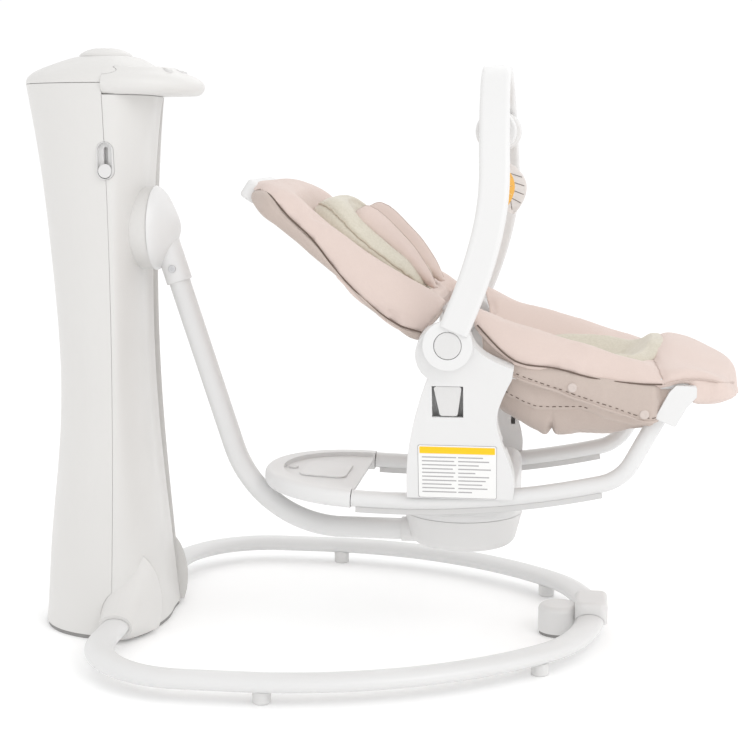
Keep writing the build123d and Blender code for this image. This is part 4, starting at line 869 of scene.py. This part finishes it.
def cushion_line(share, count=160):
    """Closed line of points round the backrest insert at one share of its plan."""
    points = []
    power = 2 / CUSHION_POWER
    for k in range(count):
        turn = 2 * pi * k / count
        s = CUSHION_MIDDLE + CUSHION_LONG * share * abs(cos(turn)) ** power * (1 if cos(turn) >= 0 else -1)
        y = CUSHION_WIDE * share * abs(sin(turn)) ** power * (1 if sin(turn) >= 0 else -1)
        points.append(back_place(s, y, cushion_top(s, y, share)))
    return points


back_insert = cushion("backrest_insert_pad", 3)
stuff(back_insert, 0.004, 0.004)
for share in (OUTER_SEAM, INNER_SEAM):
    press_line(back_insert, settle(cushion_line(share), back_insert), 0.0016, 0.003)
ruffle(back_insert, 0.0006, 30, 4.4)
place(back_insert, "backrest", "cream_fabric", "backrest_insert")
welt_line = settle(cushion_line(OUTER_SEAM), back_insert, 0.0008)
welt = cord_mesh("backrest_insert_welt", welt_line, 0.0016, CREAM_WELT, closed=True)
place(welt, "backrest", "cream_fabric")

WING_RIDGE = [(43, 30), (52, 36), (65, 44), (92, 56), (120, 64), (139, 68), (156, 68), (167, 63), (174, 47)]
WING_FLOOR = 26.0
WING_PLACE, WING_LEAN = 44, 0.16      # a wing's distance from the middle at its foot, and its outward lean


def wing_ring(s, side):
    """Closed leaf-shaped section of one head support."""
    ridge = curve_at(WING_RIDGE, s)
    end = min(1.0, max(0.0, s - 42) / 26) ** 0.5 * min(1.0, max(0.0, 175.5 - s) / 15) ** 0.5
    ring = []
    for k in range(28):
        turn = 2 * pi * k / 28
        lift = sin(turn)
        wide = 15.5 * end * cos(turn) * (1 - 0.38 * max(0.0, lift) ** 2)
        rise = WING_FLOOR + (ridge - WING_FLOOR) * (0.5 + 0.5 * lift)
        lean = side * (WING_PLACE + WING_LEAN * (rise - WING_FLOOR))
        ring.append(back_place(s, lean + wide, rise))
    return ring


for side, word in ((-1, "left"), (1, "right")):
    wing = loft_rings(f"head_wing_{word}", [wing_ring(44 + k * 3.4, side) for k in range(39)], PINK)
    stuff(wing, 0.004, 0.004)
    ridge_line = []
    for k in range(61):
        s = 48 + 125 * k / 60
        ridge = curve_at(WING_RIDGE, s)
        ridge_line.append(back_place(s, side * (WING_PLACE + WING_LEAN * (ridge - WING_FLOOR)), ridge + 1))
    ridge_line = settle(ridge_line, wing)
    press_line(wing, ridge_line, 0.0014, 0.003)
    ruffle(wing, 0.0009, 36, 9.1 + side)
    place(wing, "backrest", "pink_fabric", "head_wings")
    seam = cord_mesh(f"head_wing_seam_{word}", settle(ridge_line, wing, 0.0003), 0.0007, PINK_DARK, 6)
    place(seam, "backrest", "pink_fabric")


# ---------------------------------------------------------------- harness
RIBBON_SECTION = ((-1, -0.6), (-0.97, -1), (0.97, -1), (1, -0.6), (1, 0.6), (0.97, 1), (-0.97, 1), (-1, 0.6))


def ribbon(name, points, across, width, thick, material):
    """A flat strap along a line of points, across being the direction of its width."""
    across = Vector(across).normalized()
    rings = []
    for k, p in enumerate(points):
        along = (points[min(k + 1, len(points) - 1)] - points[max(k - 1, 0)]).normalized()
        flat = along.cross(across).normalized()
        rings.append([p + across * a * width / 2 + flat * b * thick / 2 for a, b in RIBBON_SECTION])
    return loft_rings(name, rings, material)


straps = []
for side in (-1, 1):
    route = [mm(547, side * 21, 324), mm(546, side * 30, 325.5), mm(544, side * 44, 325),
             mm(542, side * 58, 331), mm(540, side * 70, 341), mm(538, side * 76, 343)]
    straps.append(ribbon("waist", line_points(route, 24), (1, 0, 0), 0.024, 0.0018, WEBBING))
route = [mm(562, 0, 326), mm(568, 0, 326), mm(574, 0, 320), mm(577, 0, 308)]
straps.append(ribbon("crotch", line_points(route, 16), (0, 1, 0), 0.028, 0.0018, WEBBING))
harness = join("harness_webbing", straps)
place(harness, "rocker", "webbing", "harness_straps")

# ---------------------------------------------------------------- toys and label
PEG = (452.9, 71.0, 563.5)


def leaf(name, side, half_wide, long, bend, material, vein_paint):
    """A plush leaf that hangs on its peg, with sewn veins."""
    x0, y0, z0 = PEG
    y0 *= side

    def half(v):
        return half_wide * sin(pi * v ** 0.8) ** 0.8 if 0 < v < 1 else 0.0

    def spot(u, v, face):
        z = z0 - 7 - long * v
        thick = 2.4 * (1 - abs(u) ** 2.5) * min(1.0, 6 * v, 6 * (1 - v)) + 0.3
        sag = 1.2 * cos(pi * u * 0.9)
        return mm(x0 + bend * v ** 0.7 + u * half(v), y0 + face * thick + side * sag, z)

    rings = []
    for k in range(1, 40):
        v = k / 40
        rings.append([spot(cos(pi * j / 12), v, 1) for j in range(13)]
                     + [spot(cos(pi * j / 12), v, -1) for j in range(11, 0, -1)])
    body = loft_rings(name, rings, material)
    subdivide(body, 1)
    lines = [[(0, v / 20) for v in range(1, 19)]]
    for v in (0.2, 0.36, 0.52, 0.68):
        for edge in (-1, 1):
            lines.append([(edge * 0.86 * t / 6, v + 0.10 * t / 6) for t in range(7)])
    veins = []
    for line in lines:
        for face in (-1, 1):
            veins.append(cord_mesh("vein", [spot(u, v, face) for u, v in line], 0.0005, vein_paint, 5))
    loop = [mm(x0 + 2.7 * cos(2 * pi * k / 24), y0, z0 - 1.2 + 3.6 * sin(2 * pi * k / 24)) for k in range(24)]
    veins.append(cord_mesh("loop", loop, 0.0009, vein_paint, 6, closed=True))
    stem = [mm(x0, y0, z0 - 4.5), mm(x0 + 0.5, y0, z0 - 12)]
    veins.append(cord_mesh("stem", stem, 0.0012, vein_paint, 6))
    veins = join(f"{name}_veins", veins)
    word = "left" if side < 0 else "right"
    place(body, f"leaf_{word}", "leaf_fabric", f"leaf_toy_{word}")
    place(veins, f"leaf_{word}", "leaf_fabric")


leaf("leaf_near", -1, 18, 56, 6, LEAF_YELLOW, LEAF_GOLD)
leaf("leaf_far", 1, 22, 64, 13, LEAF_WHITE, LEAF_LINE)


def panel_place(x, height, off):
    """Place on the near side panel, in millimetres, off being out from its inner face."""
    return PANEL_ORIGIN + Vector((x * MM, 0, 0)) + PANEL_UP * height * MM + PANEL_OUT * off * MM


def plate(name, x0, x1, h0, h1, low, high, material, corner=0.0):
    """Thin plate on the panel."""
    spots = [(x0 + corner, h0), (x1 - corner, h0), (x1, h0 + corner), (x1, h1 - corner), (x1 - corner, h1),
             (x0 + corner, h1), (x0, h1 - corner), (x0, h0 + corner)]
    rings = [[panel_place(x, h, off) for x, h in spots] for off in (low, high)]
    obj = loft_rings(name, rings, material)
    obj.data.polygons.foreach_set("use_smooth", [False] * len(obj.data.polygons))
    return obj


FACE = PANEL_FACE * 1000
LABEL = (374.5, 460.5, 1.5, 63.5)
x0, x1, h0, h1 = LABEL
label = [plate("edge", x0 - 0.5, x1 + 0.5, h0 - 0.5, h1 + 0.5, FACE - 0.2, FACE + 0.2, LABEL_GREY, 1.5),
         plate("card", x0, x1, h0, h1, FACE - 0.2, FACE + 0.35, LABEL_WHITE, 1.5),
         plate("band", x0 + 1.5, x1 - 1.5, h1 - 9.5, h1 - 1.5, FACE + 0.2, FACE + 0.45, LABEL_YELLOW, 0.5)]
rows = ((1.0, 0.72), (0.94, 0.9), (1.0, 0.6), (0.9, 0.95), (0.97, 0.5), (0.92, 0.9), (1.0, 0.8), (0.86, 0.7),
        (0.95, 0.85), (1.0, 0.4))
for index, (first, second) in enumerate(rows):
    height = h1 - 14.5 - index * 4.6
    wide = (x1 - x0 - 10) / 2
    for start, share in ((x0 + 4, first), (x0 + 6 + wide, second)):
        label.append(plate("bar", start, start + wide * share, height, height + 1.3, FACE + 0.25, FACE + 0.42,
                           LABEL_GREY, 0.3))
label_plate = join("side_plate", label)
place(label_plate, "rocker", "shell_plastic")


# ---------------------------------------------------------------- floor and finish
FLOOR = Paint("pale_floor", (0.985, 0.985, 0.985), 0.9)
FLOOR.set("Emission Color", (1, 1, 1, 1))
FLOOR.set("Emission Strength", 0.07)
FLOOR.tint(FLOOR.noise(3, 2), (0.995, 0.995, 0.995), (1.0, 1.0, 1.0))
bpy.ops.mesh.primitive_plane_add(size=60, location=(0.3, 0, 0))
floor = bpy.context.object
floor.name = "floor"
repaint(floor, FLOOR.material)
